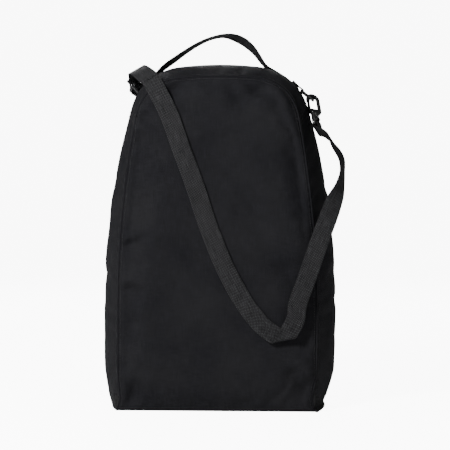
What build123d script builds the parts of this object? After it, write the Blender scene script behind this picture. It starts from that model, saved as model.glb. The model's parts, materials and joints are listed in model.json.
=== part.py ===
from build123d import *
from math import cos, sin, radians, sqrt, atan2
import os

# Shoe bag: a tall arched bag of woven cloth with a zipped front, a top handle of webbing and a
# shoulder strap held by two swivel snap hooks. Millimetres, +Z up, origin on the floor under
# the middle of the bag. The plain back panel faces -Y and the zipped front faces +Y.

# Driving dimensions of the bag body
bag_half_width = 158.5      # at the swell of the side gusset
bag_height = 469.0          # top of the swell of the gusset
seam_half_width = 134.5     # at the panel seams
seam_height = 452.0
gusset_half_depth = 72.0
panel_thickness = 2.0
panel_crown = 8.5           # how far each panel swells past its seam
crown_inset = 45.0          # from the seam line to the full height of the crown, back panel
flap_crown_inset = 57.0     # the same on the front flap
cloth = 2.0                 # gusset cloth with its lining
base_rise = 18.0            # the base gusset turns up this far at the sides
shoulder_seam_z = 404.0     # cross seam between the side gussets and the top gusset
board_thickness = 3.0
board_margin = 4.0

# Zip
tape_width = 13.0
tape_thickness = 0.8
coil_width = 2.2
coil_thickness = 2.4
coil_gap = 1.9
sill_top = 45.0             # fold line of the front flap
fold_gap = 0.3
zip_foot = 20.4             # lower ends of the zip tapes
stop_length = 5.2
slider_length = 9.0
slider_width = 11.0
slider_rest_z = 33.0
slider_clearance = 0.4
slider_plate = 1.2
pull_length = 24.0

# Webbing and its hardware
web_width = 25.0
web_thickness = 1.4
wire = 3.5                  # wire of the D-rings
ring_bevel = 0.2 * wire
bar_play = 0.01             # webbing lies close round the bar of a ring
ring_depth = 20.0           # from the middle of the bar to the middle of the bow
ring_play = 1.0             # a ring is this much wider than the webbing
ring_inner_width = web_width + ring_play
hook_reach = 54.0           # from the seat of the hook to the bar of its frame
hook_thickness = 4.6
hook_opening = 11.5
frame_play = 1.5            # and the frame of a hook this much
frame_inner_width = web_width + frame_play
frame_bar = 3.5
loop_length = 26.0          # sewn loop of webbing round each frame bar
running_gap = 0.3


def profile(half_width, height, corner, side_start, side_radius, shoulder_radius, top_radius):
    # Arched outline: straight lower sides, then side, shoulder and top arcs, all tangent.
    side_centre = (half_width - side_radius, side_start)
    top_centre = (0.0, height - top_radius)
    to_side = side_radius - shoulder_radius
    to_top = top_radius - shoulder_radius
    dx = top_centre[0] - side_centre[0]
    dz = top_centre[1] - side_centre[1]
    apart = sqrt(dx * dx + dz * dz)
    along = (to_side ** 2 - to_top ** 2 + apart ** 2) / (2 * apart)
    across = sqrt(to_side ** 2 - along ** 2)
    shoulder_centre = (
        side_centre[0] + (along * dx - across * dz) / apart,
        side_centre[1] + (along * dz + across * dx) / apart,
    )
    return {
        "half": half_width, "height": height, "corner": corner, "side_start": side_start,
        "side": (side_centre, side_radius), "shoulder": (shoulder_centre, shoulder_radius),
        "top": (top_centre, top_radius),
    }


crest = profile(bag_half_width, bag_height, 22.0, 140.0, 960.0, 75.0, 500.0)
seam = profile(seam_half_width, seam_height, 12.0, 130.0, 1430.0, 64.0, 480.0)


def direction(start, end):
    return atan2(end[1] - start[1], end[0] - start[0])


def on_arc(arc, inset, angle):
    (x, z), radius = arc
    return (x + (radius - inset) * cos(angle), z + (radius - inset) * sin(angle))


def outline(shape, y, inset=0.0, dip=0.0):
    # Face of the arched outline in the plane at depth y, moved inwards by inset; dip lowers its foot.
    half = shape["half"] - inset
    corner = max(shape["corner"] - inset, 2.0)
    side_end = direction(shape["side"][0], shape["shoulder"][0])
    shoulder_end = direction(shape["top"][0], shape["shoulder"][0])
    right = [
        (half - corner, inset - dip),
        (half - corner * (1 - cos(radians(45))), inset - dip + corner * (1 - sin(radians(45)))),
        (half, inset + corner),
        (half, shape["side_start"]),
        on_arc(shape["side"], inset, side_end / 2),
        on_arc(shape["side"], inset, side_end),
        on_arc(shape["shoulder"], inset, (side_end + shoulder_end) / 2),
        on_arc(shape["shoulder"], inset, shoulder_end),
    ]
    left = [(-x, z) for x, z in right]
    place = [Vector(x, y, z) for x, z in right]
    mirror_place = [Vector(x, y, z) for x, z in left]
    crown = Vector(0, y, shape["height"] - inset)
    edges = [
        Edge.make_line(mirror_place[0], place[0]),
        Edge.make_three_point_arc(place[0], place[1], place[2]),
        Edge.make_line(place[2], place[3]),
        Edge.make_three_point_arc(place[3], place[4], place[5]),
        Edge.make_three_point_arc(place[5], place[6], place[7]),
        Edge.make_three_point_arc(place[7], crown, mirror_place[7]),
        Edge.make_three_point_arc(mirror_place[7], mirror_place[6], mirror_place[5]),
        Edge.make_three_point_arc(mirror_place[5], mirror_place[4], mirror_place[3]),
        Edge.make_line(mirror_place[3], mirror_place[2]),
        Edge.make_three_point_arc(mirror_place[2], mirror_place[1], mirror_place[0]),
    ]
    return Face(Wire(edges))


def slab(shape, inset, y_low, y_high):
    return extrude(outline(shape, y_low, inset), amount=y_high - y_low, dir=(0, 1, 0))


def band(inset_out, inset_in, y_low, y_high):
    # Flat strip that follows the seam, between two insets.
    return slab(seam, inset_out, y_low, y_high) - slab(seam, inset_in, y_low, y_high)


def block(x_low, x_high, y_low, y_high, z_low, z_high):
    size = (x_high - x_low, y_high - y_low, z_high - z_low)
    middle = ((x_low + x_high) / 2, (y_low + y_high) / 2, (z_low + z_high) / 2)
    return Pos(*middle) * Box(*size)


reach = 1000.0


def above(solid, z):
    return solid & block(-reach, reach, -reach, reach, z, reach)


def below(solid, z):
    return solid & block(-reach, reach, -reach, reach, -reach, z)


def save(shape, name):
    solids = shape.solids()
    result = solids[0] if len(solids) == 1 else Compound(children=list(solids))
    export_step(result, "parts/" + name + ".step")


os.makedirs("parts", exist_ok=True)

# Bag body: swelling gusset ring, cut into base, two sides and a top
def swollen(inset, dip=0.0):
    sections = [
        outline(seam, -gusset_half_depth, inset, dip),
        outline(crest, 0.0, inset, dip),
        outline(seam, gusset_half_depth, inset, dip),
    ]
    return loft(sections)


# The foot of the outer skin is lofted a little low and cut off flat at the floor
gusset_ring = above(swollen(0.0, 0.5), 0.0) - swollen(cloth)
base_panel = below(gusset_ring, base_rise)
gusset_sides = below(above(gusset_ring, base_rise), shoulder_seam_z)
save(base_panel, "base_panel")
save(gusset_sides & block(0, reach, -reach, reach, 0, reach), "gusset_right")
save(gusset_sides & block(-reach, 0, -reach, reach, 0, reach), "gusset_left")
save(above(gusset_ring, shoulder_seam_z), "gusset_top")

board = block(
    -seam_half_width + board_margin + seam["corner"], seam_half_width - board_margin - seam["corner"],
    -gusset_half_depth + board_margin, gusset_half_depth - board_margin,
    cloth, cloth + board_thickness,
)
save(fillet(board.edges().filter_by(Axis.Z), 10.0), "base_board")


def crowned_panel(side, inset, crown_line):
    # Panel with a raised middle; side is -1 for the back and 1 for the front.
    seam_y = side * (gusset_half_depth + panel_thickness)
    crown_y = seam_y + side * panel_crown
    inner_y = side * gusset_half_depth
    rim = slab(seam, inset, min(seam_y, inner_y), max(seam_y, inner_y))
    swell = loft([outline(seam, seam_y, inset), outline(seam, crown_y, crown_line)], ruled=True)
    hollow = loft([
        outline(seam, inner_y, inset + panel_thickness),
        outline(seam, crown_y - side * panel_thickness, crown_line + panel_thickness),
    ], ruled=True)
    return rim + swell - hollow


save(crowned_panel(-1, 0.0, crown_inset), "back_panel")

# Zipped front: sill, flap, tapes, coils, stops
coil_out = tape_width
coil_in = coil_out + coil_width + coil_gap
flap_inset = coil_in + coil_width + tape_width - 1.3
flap_half = seam_half_width - flap_inset
tape_y = gusset_half_depth
coil_y = gusset_half_depth - 0.4
front_face = gusset_half_depth + panel_thickness

sill = below(slab(seam, 0.0, gusset_half_depth, front_face), zip_foot - fold_gap)
sill = sill + block(-flap_half, flap_half, gusset_half_depth, front_face, 15.0, sill_top - fold_gap)
save(sill, "front_sill")
save(above(crowned_panel(1, flap_inset, flap_crown_inset), sill_top + fold_gap), "front_flap")


def strips(inset_out, inset_in, y_low, thickness, z_low, z_high):
    whole = band(inset_out, inset_in, y_low, y_low + thickness)
    return below(above(whole, z_low), z_high)


def stub(x_low, x_high, y_low, thickness, z_low):
    # Flap-side strips that carry on below the fold line, one on each side.
    right = block(x_low, x_high, y_low, y_low + thickness, z_low, sill_top - fold_gap)
    return right + block(-x_high, -x_low, y_low, y_low + thickness, z_low, sill_top - fold_gap)


flap_coil_x = seam_half_width - coil_in
coil_foot = zip_foot + stop_length + 0.4
tape_gusset = strips(0.0, coil_out, tape_y, tape_thickness, zip_foot, reach)
tape_gusset = tape_gusset + stub(flap_half + 0.1, flap_coil_x - coil_width, tape_y, tape_thickness, zip_foot)
save(tape_gusset, "zip_tape_gusset")
coil_gusset = strips(coil_out, coil_out + coil_width, coil_y, coil_thickness, coil_foot, reach)
coil_gusset = coil_gusset + stub(flap_coil_x - coil_width, flap_coil_x, coil_y, coil_thickness, coil_foot)
save(coil_gusset, "zip_coil_gusset")
flap_foot = sill_top + fold_gap
save(strips(coil_in + coil_width, flap_inset, tape_y, tape_thickness, flap_foot, reach), "zip_tape_flap")
save(strips(coil_in, coil_in + coil_width, coil_y, coil_thickness, flap_foot, reach), "zip_coil_flap")

zip_x = seam_half_width - coil_out - coil_width - coil_gap / 2
coil_span = coil_width + coil_gap / 2
stop_low = zip_foot
stop_block = block(zip_x - coil_span, zip_x + coil_span, coil_y, coil_y + coil_thickness,
                   stop_low, stop_low + stop_length)
save(stop_block + mirror(stop_block, Plane.YZ), "zip_end_stops")

coil_face = coil_y + coil_thickness
plate_low = coil_face + slider_clearance
plate_high = plate_low + slider_plate
inner_high = coil_y - slider_clearance
half_slider = slider_length / 2
slider = block(-slider_width / 2, slider_width / 2, plate_low, plate_high, -half_slider, half_slider)
slider = slider + block(-slider_width / 2, slider_width / 2, inner_high - slider_plate, inner_high,
                        -half_slider, half_slider)
slider = fillet(slider.edges().filter_by(Axis.Y), 2.5)
slider = slider + block(-0.55, 0.55, inner_high, plate_low, -1.5, 1.5)
bridge = block(-1.2, 1.2, plate_high, plate_high + 3.4, -3.0, 3.0)
bridge = bridge - block(-2, 2, plate_high + 0.3, plate_high + 2.3, -1.9, 1.9)
slider = slider + bridge
pull_y = plate_high + 1.3
save(Pos(zip_x, 0, slider_rest_z) * slider, "zip_slider")
pull = block(-4, 4, pull_y - 0.6, pull_y + 0.6, -pull_length, 0.6)
pull = fillet(pull.edges().filter_by(Axis.Y), 0.5)
pull = pull - block(-2, 2, pull_y - 2, pull_y + 2, -4.8, -0.6)
pull = pull - block(-2, 2, pull_y - 2, pull_y + 2, -pull_length + 3, -10)
save(Pos(zip_x, 0, slider_rest_z) * pull, "zip_pull")

# Inner binding tapes along the two panel seams
binding_width = 8.0
binding_thickness = 1.2
binding = band(cloth + 0.6, cloth + 0.6 + binding_width, 0.0, binding_thickness)
save(Pos(0, -gusset_half_depth, 0) * binding, "seam_binding_back")
front_binding = band(cloth + 0.6, cloth + 0.6 + binding_width, 0.0, binding_thickness)
save(Pos(0, gusset_half_depth - binding_thickness, 0) * front_binding, "seam_binding_front")


# Webbing that lies in a plane at right angles to Y
def webbing(points, thickness=web_thickness, width=web_width):
    line = [Vector(x, 0, z) for x, z in points]
    outer = []
    inner = []
    for index, point in enumerate(line):
        before = line[max(index - 1, 0)]
        after = line[min(index + 1, len(line) - 1)]
        run = (after - before).normalized()
        normal = Vector(-run.Z, 0, run.X) * (thickness / 2)
        outer.append(point + normal)
        inner.append(point - normal)
    edges = [
        Edge.make_spline(outer),
        Edge.make_line(outer[-1], inner[-1]),
        Edge.make_spline(inner[::-1]),
        Edge.make_line(inner[0], outer[0]),
    ]
    sheet = Face(Wire(edges))
    return Pos(0, -width / 2, 0) * extrude(sheet, amount=width, dir=(0, 1, 0))


def on_shoulder(angle, offset, side):
    x, z = on_arc(crest["shoulder"], -offset, radians(angle))
    return (side * x, z)


# Top handle: a free arch between two ends sewn down on the shoulders
handle_offset = 0.3 + web_thickness / 2
handle_rise = 42.0          # free arch above the top of the bag
handle_pivot_z = bag_height + 9.0
arch_left = -64.0
arch_right = 57.0
arch_top = bag_height + handle_rise
shoulder_x, shoulder_z = crest["shoulder"][0]
handle_line = [on_shoulder(angle, handle_offset, -1) for angle in (38.0, 43.0, 48.0)]
handle_line = handle_line + [
    (-shoulder_x - 40.95, shoulder_z + 67.11), (-shoulder_x - 29.95, shoulder_z + 77.11), (arch_left, handle_pivot_z),
    (-48.0, bag_height + 20.0), (-30.0, bag_height + 31.0), (-11.0, bag_height + 39.0),
    (6.0, arch_top), (20.0, bag_height + 39.5), (34.0, bag_height + 33.0),
    (47.0, bag_height + 22.0), (arch_right, handle_pivot_z), (shoulder_x + 16.95, shoulder_z + 77.11),
]
handle_line = handle_line + [on_shoulder(angle, handle_offset, 1) for angle in (66.0, 56.0, 46.0, 38.0)]
handle = webbing(handle_line)
save(handle & block(arch_left + running_gap, arch_right - running_gap, -20, 20, 0, reach), "top_handle")
save(handle & block(-reach, arch_left - running_gap, -20, 20, 0, reach), "handle_end_left")
save(handle & block(arch_right + running_gap, reach, -20, 20, 0, reach), "handle_end_right")

# D-ring tabs: webbing folded round the bar of each ring, sewn down on top of the handle ends
tab_fold = 2 * web_thickness
bar_radius = wire / 2
loop_inner = sqrt(bar_radius ** 2 + (bar_radius - ring_bevel) ** 2) + bar_play
loop_outer = loop_inner + web_thickness
bar_angle = 33.0
bar_offset = loop_outer + 0.3
tab_offset = handle_offset + web_thickness / 2 + 0.2 + tab_fold / 2
bar_point = on_shoulder(bar_angle, bar_offset, 1)


def ring_tab(side):
    line = [on_shoulder(angle, tab_offset, side) for angle in (bar_angle, 37.5, 42.0, 46.5)]
    plate = webbing(line, tab_fold)
    loop = Pos(side * bar_point[0], 0, bar_point[1]) * Rot(90, 0, 0) * Cylinder(loop_outer, web_width)
    core = Pos(side * bar_point[0], 0, bar_point[1]) * Rot(90, 0, 0) * Cylinder(loop_inner, 2 * web_width)
    return plate + loop - core


save(ring_tab(1), "ring_tab_right")
save(ring_tab(-1), "ring_tab_left")


def d_ring():
    # Ring in its own frame: bar along local Y through the origin, bow towards local +X.
    inner_half = ring_inner_width / 2
    outer_half = inner_half + wire
    bow_outer = ring_depth + wire / 2
    bow_inner = ring_depth - wire / 2
    outer = make_face(Polyline((-wire / 2, -outer_half), (12, -outer_half), (bow_outer, -9), (bow_outer, 9),
                               (12, outer_half), (-wire / 2, outer_half), close=True))
    inner = make_face(Polyline((wire / 2, -inner_half), (10.8, -inner_half), (bow_inner, -7.4), (bow_inner, 7.4),
                               (10.8, inner_half), (wire / 2, inner_half), close=True))
    outer_solid = extrude(outer, amount=wire / 2, both=True)
    inner_solid = extrude(inner, amount=wire, both=True)
    outer_solid = fillet(outer_solid.edges().filter_by(Axis.Z).group_by(Axis.X)[-1], 5.5)
    inner_solid = fillet(inner_solid.edges().filter_by(Axis.Z).group_by(Axis.X)[-1], 3.2)
    ring = outer_solid - inner_solid
    return chamfer(ring.faces().filter_by(Axis.Z).edges(), ring_bevel)


def frame_at(origin, x_dir, y_dir):
    # Location whose local X and Y follow the two directions.
    x_axis = Vector(*x_dir).normalized()
    y_axis = Vector(*y_dir)
    z_axis = x_axis.cross(y_axis).normalized()
    return Plane(origin=origin, x_dir=x_axis, z_dir=z_axis).location


ring_dir_right = (cos(radians(-38.0)), 0, sin(radians(-38.0)))
ring_dir_left = (-0.7, 0, 0.714)
bar_right = (bar_point[0], 0, bar_point[1])
bar_left = (-bar_point[0], 0, bar_point[1])
save(frame_at(bar_right, ring_dir_right, (0, 1, 0)) * d_ring(), "d_ring_right")
save(frame_at(bar_left, ring_dir_left, (0, 1, 0)) * d_ring(), "d_ring_left")

# Snap hook in its own frame: seat at the origin, local Y down the hook, spine on local +X
hook_side = 3.8
head_outer = hook_opening / 2 + hook_side
base_top = 19.0
base_bottom = 27.0
gate_x = -hook_opening / 2 - hook_side / 2
gate_width = 3.4
gate_pin_y = base_top + 0.8
gate_pin = 0.8
nose_end = 5.0
stem_radius = 2.5
collar_low = base_bottom + 0.3
collar_high = collar_low + 6.0
frame_low = collar_high
cheek_gap = 2.8
gate_thickness = 2.2


def plate(width, length, x, y, thickness):
    return Pos(x, y, 0) * Box(width, length, thickness)


def snap_hook():
    opening_half = hook_opening / 2
    t = hook_thickness
    head = Cylinder(head_outer, t) - Cylinder(opening_half, 2 * t)
    head = head & Pos(0, -head_outer, 0) * Box(4 * head_outer, 2 * head_outer, 4 * t)
    spine = plate(hook_side, base_top + 0.5, opening_half + hook_side / 2, base_top / 2, t)
    nose = plate(hook_side, nose_end, gate_x, nose_end / 2, t)
    base = plate(2 * head_outer, base_bottom - base_top, 0, (base_top + base_bottom) / 2, t)
    base = fillet(base.edges().filter_by(Axis.Z).group_by(Axis.Y)[-1], 5.0)
    slot = plate(5.4, 5.0, gate_x, base_top + 1.5, cheek_gap)
    stem_length = collar_high - base_bottom + 0.8
    stem = Pos(0, base_bottom + stem_length / 2 - 0.3, 0) * Rot(90, 0, 0) * Cylinder(stem_radius, stem_length)
    cap = Pos(0, collar_high + 0.3 + 0.9, 0) * Rot(90, 0, 0) * Cylinder(stem_radius + 1.4, 1.8)
    pin = Pos(gate_x, gate_pin_y, 0) * Cylinder(gate_pin, t)
    body = head + spine + nose + base - slot
    return body + stem + cap + pin


def hook_gate():
    bar_top = nose_end + 0.4
    bar = plate(gate_width, gate_pin_y - bar_top, gate_x, (gate_pin_y + bar_top) / 2, gate_thickness)
    eye = Pos(gate_x, gate_pin_y, 0) * Cylinder(gate_width / 2, gate_thickness)
    return bar + eye - Pos(gate_x, gate_pin_y, 0) * Cylinder(gate_pin + 0.07, 2 * hook_thickness)


def swivel_frame():
    # Collar and rectangular loop; the far bar runs along local X at y = hook_reach.
    outer_half = frame_inner_width / 2 + frame_bar
    far = hook_reach + frame_bar / 2
    body = plate(2 * outer_half, far - frame_low, 0, (far + frame_low) / 2, frame_bar)
    body = fillet(body.edges().filter_by(Axis.Z), 3.5)
    window = plate(frame_inner_width, far - frame_low - 2 * frame_bar, 0, (far + frame_low) / 2, 2 * frame_bar)
    window = fillet(window.edges().filter_by(Axis.Z), 1.6)
    collar = Pos(0, (collar_low + collar_high) / 2, 0) * Rot(90, 0, 0) * Cylinder(4.6, collar_high - collar_low)
    top_bar = plate(11, frame_bar, 0, collar_high + frame_bar / 2, 2 * stem_radius + 3.6)
    bore = Pos(0, collar_low + 3, 0) * Rot(90, 0, 0) * Cylinder(stem_radius + 0.1, 14)
    head_room = Pos(0, collar_high + 3, 0) * Rot(90, 0, 0) * Cylinder(stem_radius + 1.7, 6)
    return body - window + collar + top_bar - bore - head_room


def webbing_loop():
    # Loop round the far bar and the sewn double layer that leads away along local Y.
    ring = Rot(0, 90, 0) * Cylinder(frame_bar * 0.72 + running_gap + web_thickness, web_width)
    tail_start = frame_bar * 0.72 + running_gap
    tail = Pos(0, (tail_start + loop_length) / 2, 0) * Box(web_width, loop_length - tail_start, tab_fold)
    hollow = Rot(0, 90, 0) * Cylinder(frame_bar * 0.72 + running_gap, 2 * web_width)
    return ring + tail - hollow


def put_vector(origin, way, length):
    return tuple(o + length * w for o, w in zip(origin, way))


def unit(way):
    return tuple(Vector(*way).normalized())


def dot(a, b):
    return sum(p * q for p, q in zip(a, b))


def square_to(way, axis):
    # The part of way that stands at right angles to axis, as a unit vector.
    share = dot(way, axis)
    return unit(tuple(w - share * a for w, a in zip(way, axis)))


# How each hook hangs: seat, way down the hook, way to its spine, way of the frame bar
hooks = {
    "right": {
        "seat": put_vector(bar_right, ring_dir_right, ring_depth - 0.6),
        "down": unit((0.13, -0.64, -0.75)), "spine": (0.90, 0.34, -0.22),
        "bar": (0.385, 0.703, -0.598), "leave": (0.683, -0.394, -0.613),
    },
    "left": {
        "seat": put_vector(put_vector(bar_left, ring_dir_left, 9.6), (0, 1, 0),
                           ring_inner_width / 2 + wire / 2),
        "down": unit((0.29, 0.94, -0.17)), "spine": (0.60, 0.0, 0.80),
        "bar": (0.62, 0.0, 0.78), "leave": (-0.58, -0.71, 0.42),
    },
}
loop_ends = {}
for hand, hook in hooks.items():
    down = hook["down"]
    spine_way = square_to(hook["spine"], down)
    bar_way = square_to(hook["bar"], down)
    leave_way = square_to(hook["leave"], bar_way)
    frame_centre = put_vector(hook["seat"], down, hook_reach)
    hook_place = frame_at(hook["seat"], spine_way, down)
    frame_place = frame_at(hook["seat"], bar_way, down)
    save(hook_place * snap_hook(), "snap_hook_" + hand)
    save(hook_place * hook_gate(), "hook_gate_" + hand)
    save(frame_place * swivel_frame(), "swivel_frame_" + hand)
    save(frame_at(frame_centre, bar_way, leave_way) * webbing_loop(), "strap_loop_" + hand)
    loop_ends[hand] = (put_vector(frame_centre, leave_way, loop_length), bar_way)
    gate_pivot = put_vector(put_vector(hook["seat"], spine_way, gate_x), down, gate_pin_y)
    print(hand, "seat", hook["seat"], "down", down, "spine", spine_way, "bar", bar_way)
    print(hand, "leave", leave_way, "gate pivot", gate_pivot, "loop end", loop_ends[hand])


# Shoulder strap: flat webbing given by stations, each a middle point and a way across its width
def ribbon(stations, thickness=web_thickness):
    wires = []
    for index, (point, across, width) in enumerate(stations):
        before = stations[max(index - 1, 0)][0]
        after = stations[min(index + 1, len(stations) - 1)][0]
        run = Vector(*after) - Vector(*before)
        side = Vector(*across).normalized()
        normal = run.cross(side).normalized() * (thickness / 2)
        half = side * (width / 2)
        centre = Vector(*point)
        corners = [centre + half + normal, centre - half + normal, centre - half - normal, centre + half - normal]
        wires.append(Wire.make_polygon(corners, close=True))
    return Solid.make_loft(wires, ruled=True)


strap_y = -(gusset_half_depth + panel_thickness + panel_crown + 3.5)
strap_top_left = (-89.4, strap_y + 13.0, 447.5)

# From the left hook's loop, over the shoulder, to the top of the long front run
left_end, left_across = loop_ends["left"]
start_gap = put_vector(left_end, (-0.3, -0.8, 0.5), 1.8)
shoulder_run = [
    (start_gap, left_across, web_width),
    ((-119.5, 24.0, 455.0), (0.74, -0.04, 0.67), web_width),
    ((-116.5, -3.0, 461.5), (0.84, 0.0, 0.54), web_width),
    ((-114.0, -25.0, 463.5), (0.87, 0.0, 0.49), web_width),
    ((-108.0, strap_y + 41.0, 461.5), (0.88, 0.0, 0.47), web_width),
    ((-99.5, strap_y + 24.5, 455.5), (0.86, 0.02, 0.50), web_width),
    (strap_top_left, (0.84, 0.04, 0.54), web_width),
]
save(ribbon(shoulder_run), "strap_shoulder_run")

# The long run down the back panel, the turn at its foot and the way up to the right hook
fold_way = (0.967, 0.0, 0.255)
fold_down = (0.255, 0.0, -0.967)
fold_radius = 4.0
fold_width = web_width / sin(radians(55.0))
fold_base = (88.5, strap_y, 101.0)
right_end, right_across = loop_ends["right"]
end_gap = put_vector(right_end, (0.6, -0.6, -0.45), 3.4)
run_down = [
    ((-88.9, strap_y + 12.2, 446.6), (0.84, 0.04, 0.54), web_width),
    ((-78.6, strap_y + 4.5, 430.1), (0.88, 0.0, 0.47), web_width),
    ((-64.8, strap_y, 403.2), (0.91, 0.0, 0.41), web_width),
    ((-48.7, strap_y, 359.1), (0.935, 0.0, 0.355), web_width),
    ((-30.6, strap_y, 309.8), (0.94, 0.0, 0.345), web_width),
    ((-6.6, strap_y, 239.0), (0.93, 0.0, 0.37), web_width),
    ((20.9, strap_y, 176.2), (0.885, 0.0, 0.465), web_width),
    ((45.0, strap_y, 137.4), (0.80, 0.0, 0.60), web_width),
    ((68.5, strap_y, 113.5), (0.80, 0.0, 0.60), web_width),
]
turn = []
for angle in (0, 45, 90, 135, 180):
    drop = fold_radius * sin(radians(angle))
    out = fold_radius * (1 - cos(radians(angle)))
    point = put_vector(fold_base, fold_down, drop)
    turn.append(((point[0], point[1] - out, point[2]), fold_way, fold_width))
outer_y = strap_y - 2 * fold_radius
run_up = [
    ((97.5, outer_y, 119.0), (0.93, 0.0, -0.30), web_width),
    ((108.6, outer_y + 1.5, 146.5), (0.93, 0.0, -0.36), web_width),
    ((121.0, outer_y + 4.0, 181.9), (0.94, 0.0, -0.34), web_width),
    ((139.6, strap_y + 1.5, 236.3), (0.93, 0.0, -0.37), web_width),
    ((157.0, strap_y + 10.0, 282.9), (0.84, 0.34, -0.42), web_width),
    ((165.7, strap_y + 18.0, 307.0), (0.45, 0.87, -0.20), web_width),
    ((168.0, strap_y + 24.0, 323.1), (0.10, 0.99, -0.03), web_width),
    ((167.0, strap_y + 26.5, 340.6), (0.12, 0.98, -0.16), web_width),
    ((158.8, strap_y + 28.5, 356.0), (0.28, 0.85, -0.44), web_width),
    (end_gap, right_across, web_width),
]
strap_stations = run_down + turn + run_up
strap = ribbon(strap_stations)
save(strap, "shoulder_strap")
strap_length = sum((Vector(*b[0]) - Vector(*a[0])).length for a, b in zip(strap_stations, strap_stations[1:]))
shoulder_length = sum((Vector(*b[0]) - Vector(*a[0])).length for a, b in zip(shoulder_run, shoulder_run[1:]))
print("strap run", round(strap_length, 1), "shoulder run", round(shoulder_length, 1))
print("strap volume", round(strap.volume), "expected", round(strap_length * web_width * web_thickness))
print("ring bars", bar_right, bar_left, "pull pivot", (zip_x, pull_y, slider_rest_z))
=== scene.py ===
import json
import math

import bpy
import numpy as np
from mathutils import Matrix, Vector, geometry
from mathutils.bvhtree import BVHTree


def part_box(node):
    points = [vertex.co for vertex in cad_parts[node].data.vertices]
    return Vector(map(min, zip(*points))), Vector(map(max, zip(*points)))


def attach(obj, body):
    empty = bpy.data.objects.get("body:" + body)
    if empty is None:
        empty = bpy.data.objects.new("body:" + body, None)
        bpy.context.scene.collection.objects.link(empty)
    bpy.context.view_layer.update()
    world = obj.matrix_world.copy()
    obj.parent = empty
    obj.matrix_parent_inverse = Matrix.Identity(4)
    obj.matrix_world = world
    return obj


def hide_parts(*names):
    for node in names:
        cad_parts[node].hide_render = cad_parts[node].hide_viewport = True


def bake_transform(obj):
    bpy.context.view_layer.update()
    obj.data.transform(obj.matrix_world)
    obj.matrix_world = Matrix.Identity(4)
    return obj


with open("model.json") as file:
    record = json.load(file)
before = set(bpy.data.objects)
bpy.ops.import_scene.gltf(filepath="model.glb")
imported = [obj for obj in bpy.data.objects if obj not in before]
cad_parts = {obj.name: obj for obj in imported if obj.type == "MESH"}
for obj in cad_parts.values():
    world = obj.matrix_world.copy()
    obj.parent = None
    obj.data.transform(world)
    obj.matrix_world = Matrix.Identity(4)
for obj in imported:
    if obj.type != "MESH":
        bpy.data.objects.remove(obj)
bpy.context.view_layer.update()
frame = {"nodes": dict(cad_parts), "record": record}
mm = 0.001
joints = {j["name"]: j for j in frame["record"]["behaviour"]["joints"]}
print("frame loaded", len(frame["nodes"]), "nodes")


def boxOf(node):
    low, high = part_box(node)
    return np.array(low) / mm, np.array(high) / mm


def inBox(node, share):
    low, high = boxOf(node)
    return low + (high - low) * np.array(share)


def unit(way):
    way = np.array(way, dtype=float)
    return way / np.linalg.norm(way)


def jointPoint(name):
    return np.array(joints[name]["pos_m"]) / mm


def makeObject(name, points, faces, uvs=None, smooth=True):
    mesh = bpy.data.meshes.new(name)
    mesh.from_pydata((np.array(points) * mm).tolist(), [], [list(map(int, f)) for f in faces])
    if uvs is not None:
        layer = mesh.uv_layers.new(name="cloth")
        corners = np.empty(len(mesh.loops), dtype=int)
        mesh.loops.foreach_get("vertex_index", corners)
        layer.data.foreach_set("uv", (np.array(uvs)[corners] * mm).astype("f").ravel())
    mesh.polygons.foreach_set("use_smooth", [smooth] * len(mesh.polygons))
    mesh.update()
    made = bpy.data.objects.new(name, mesh)
    bpy.context.scene.collection.objects.link(made)
    return made


def finishPiece(made, material, body, nodes=()):
    made.data.materials.clear()
    for one in (material if isinstance(material, (list, tuple)) else [material]):
        made.data.materials.append(one)
    if body:
        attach(made, body)
    if nodes:
        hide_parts(*nodes)
    return made


def lengthsAlong(path):
    return np.concatenate([[0], np.cumsum(np.linalg.norm(np.diff(path, axis=0), axis=1))])


def gridFaces(rows, columns, closed=False):
    faces = []
    last = columns if closed else columns - 1
    for r in range(rows - 1):
        for c in range(last):
            d = (c + 1) % columns
            faces.append((r * columns + c, r * columns + d, (r + 1) * columns + d, (r + 1) * columns + c))
    return faces


def solidify(made, thickness, offset=-1.0, materialStep=0):
    step = made.modifiers.new("thickness", "SOLIDIFY")
    step.thickness = thickness * mm
    step.offset = offset
    step.material_offset = materialStep
    step.material_offset_rim = 0


def subdivide(made, levels=1):
    step = made.modifiers.new("subdivision", "SUBSURF")
    step.levels = levels
    step.render_levels = levels


def archShape(half, height, corner, sideStart, sideRadius, shoulderRadius, topRadius):
    # Straight lower sides, then side, shoulder and top arcs, all tangent
    side = np.array([half - sideRadius, sideStart])
    top = np.array([0.0, height - topRadius])
    toSide = sideRadius - shoulderRadius
    toTop = topRadius - shoulderRadius
    gap = top - side
    apart = np.hypot(*gap)
    along = (toSide ** 2 - toTop ** 2 + apart ** 2) / (2 * apart)
    across = math.sqrt(toSide ** 2 - along ** 2)
    shoulder = side + (along * gap + across * np.array([-gap[1], gap[0]])) / apart
    return {"half": half, "height": height, "corner": corner, "sideStart": sideStart,
            "side": (side, sideRadius), "shoulder": (shoulder, shoulderRadius), "top": (top, topRadius)}


def arc(centre, radius, start, end, count):
    angles = np.linspace(start, end, count + 1)[1:]
    return np.stack([centre[0] + radius * np.cos(angles), centre[1] + radius * np.sin(angles)], axis=1)


def line(start, end, count):
    t = np.linspace(0, 1, count + 1)[1:, None]
    return np.array(start) + (np.array(end) - np.array(start)) * t


arcCounts = {"foot": 24, "corner": 6, "wall": 20, "side": 48, "shoulder": 18, "top": 16}


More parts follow.
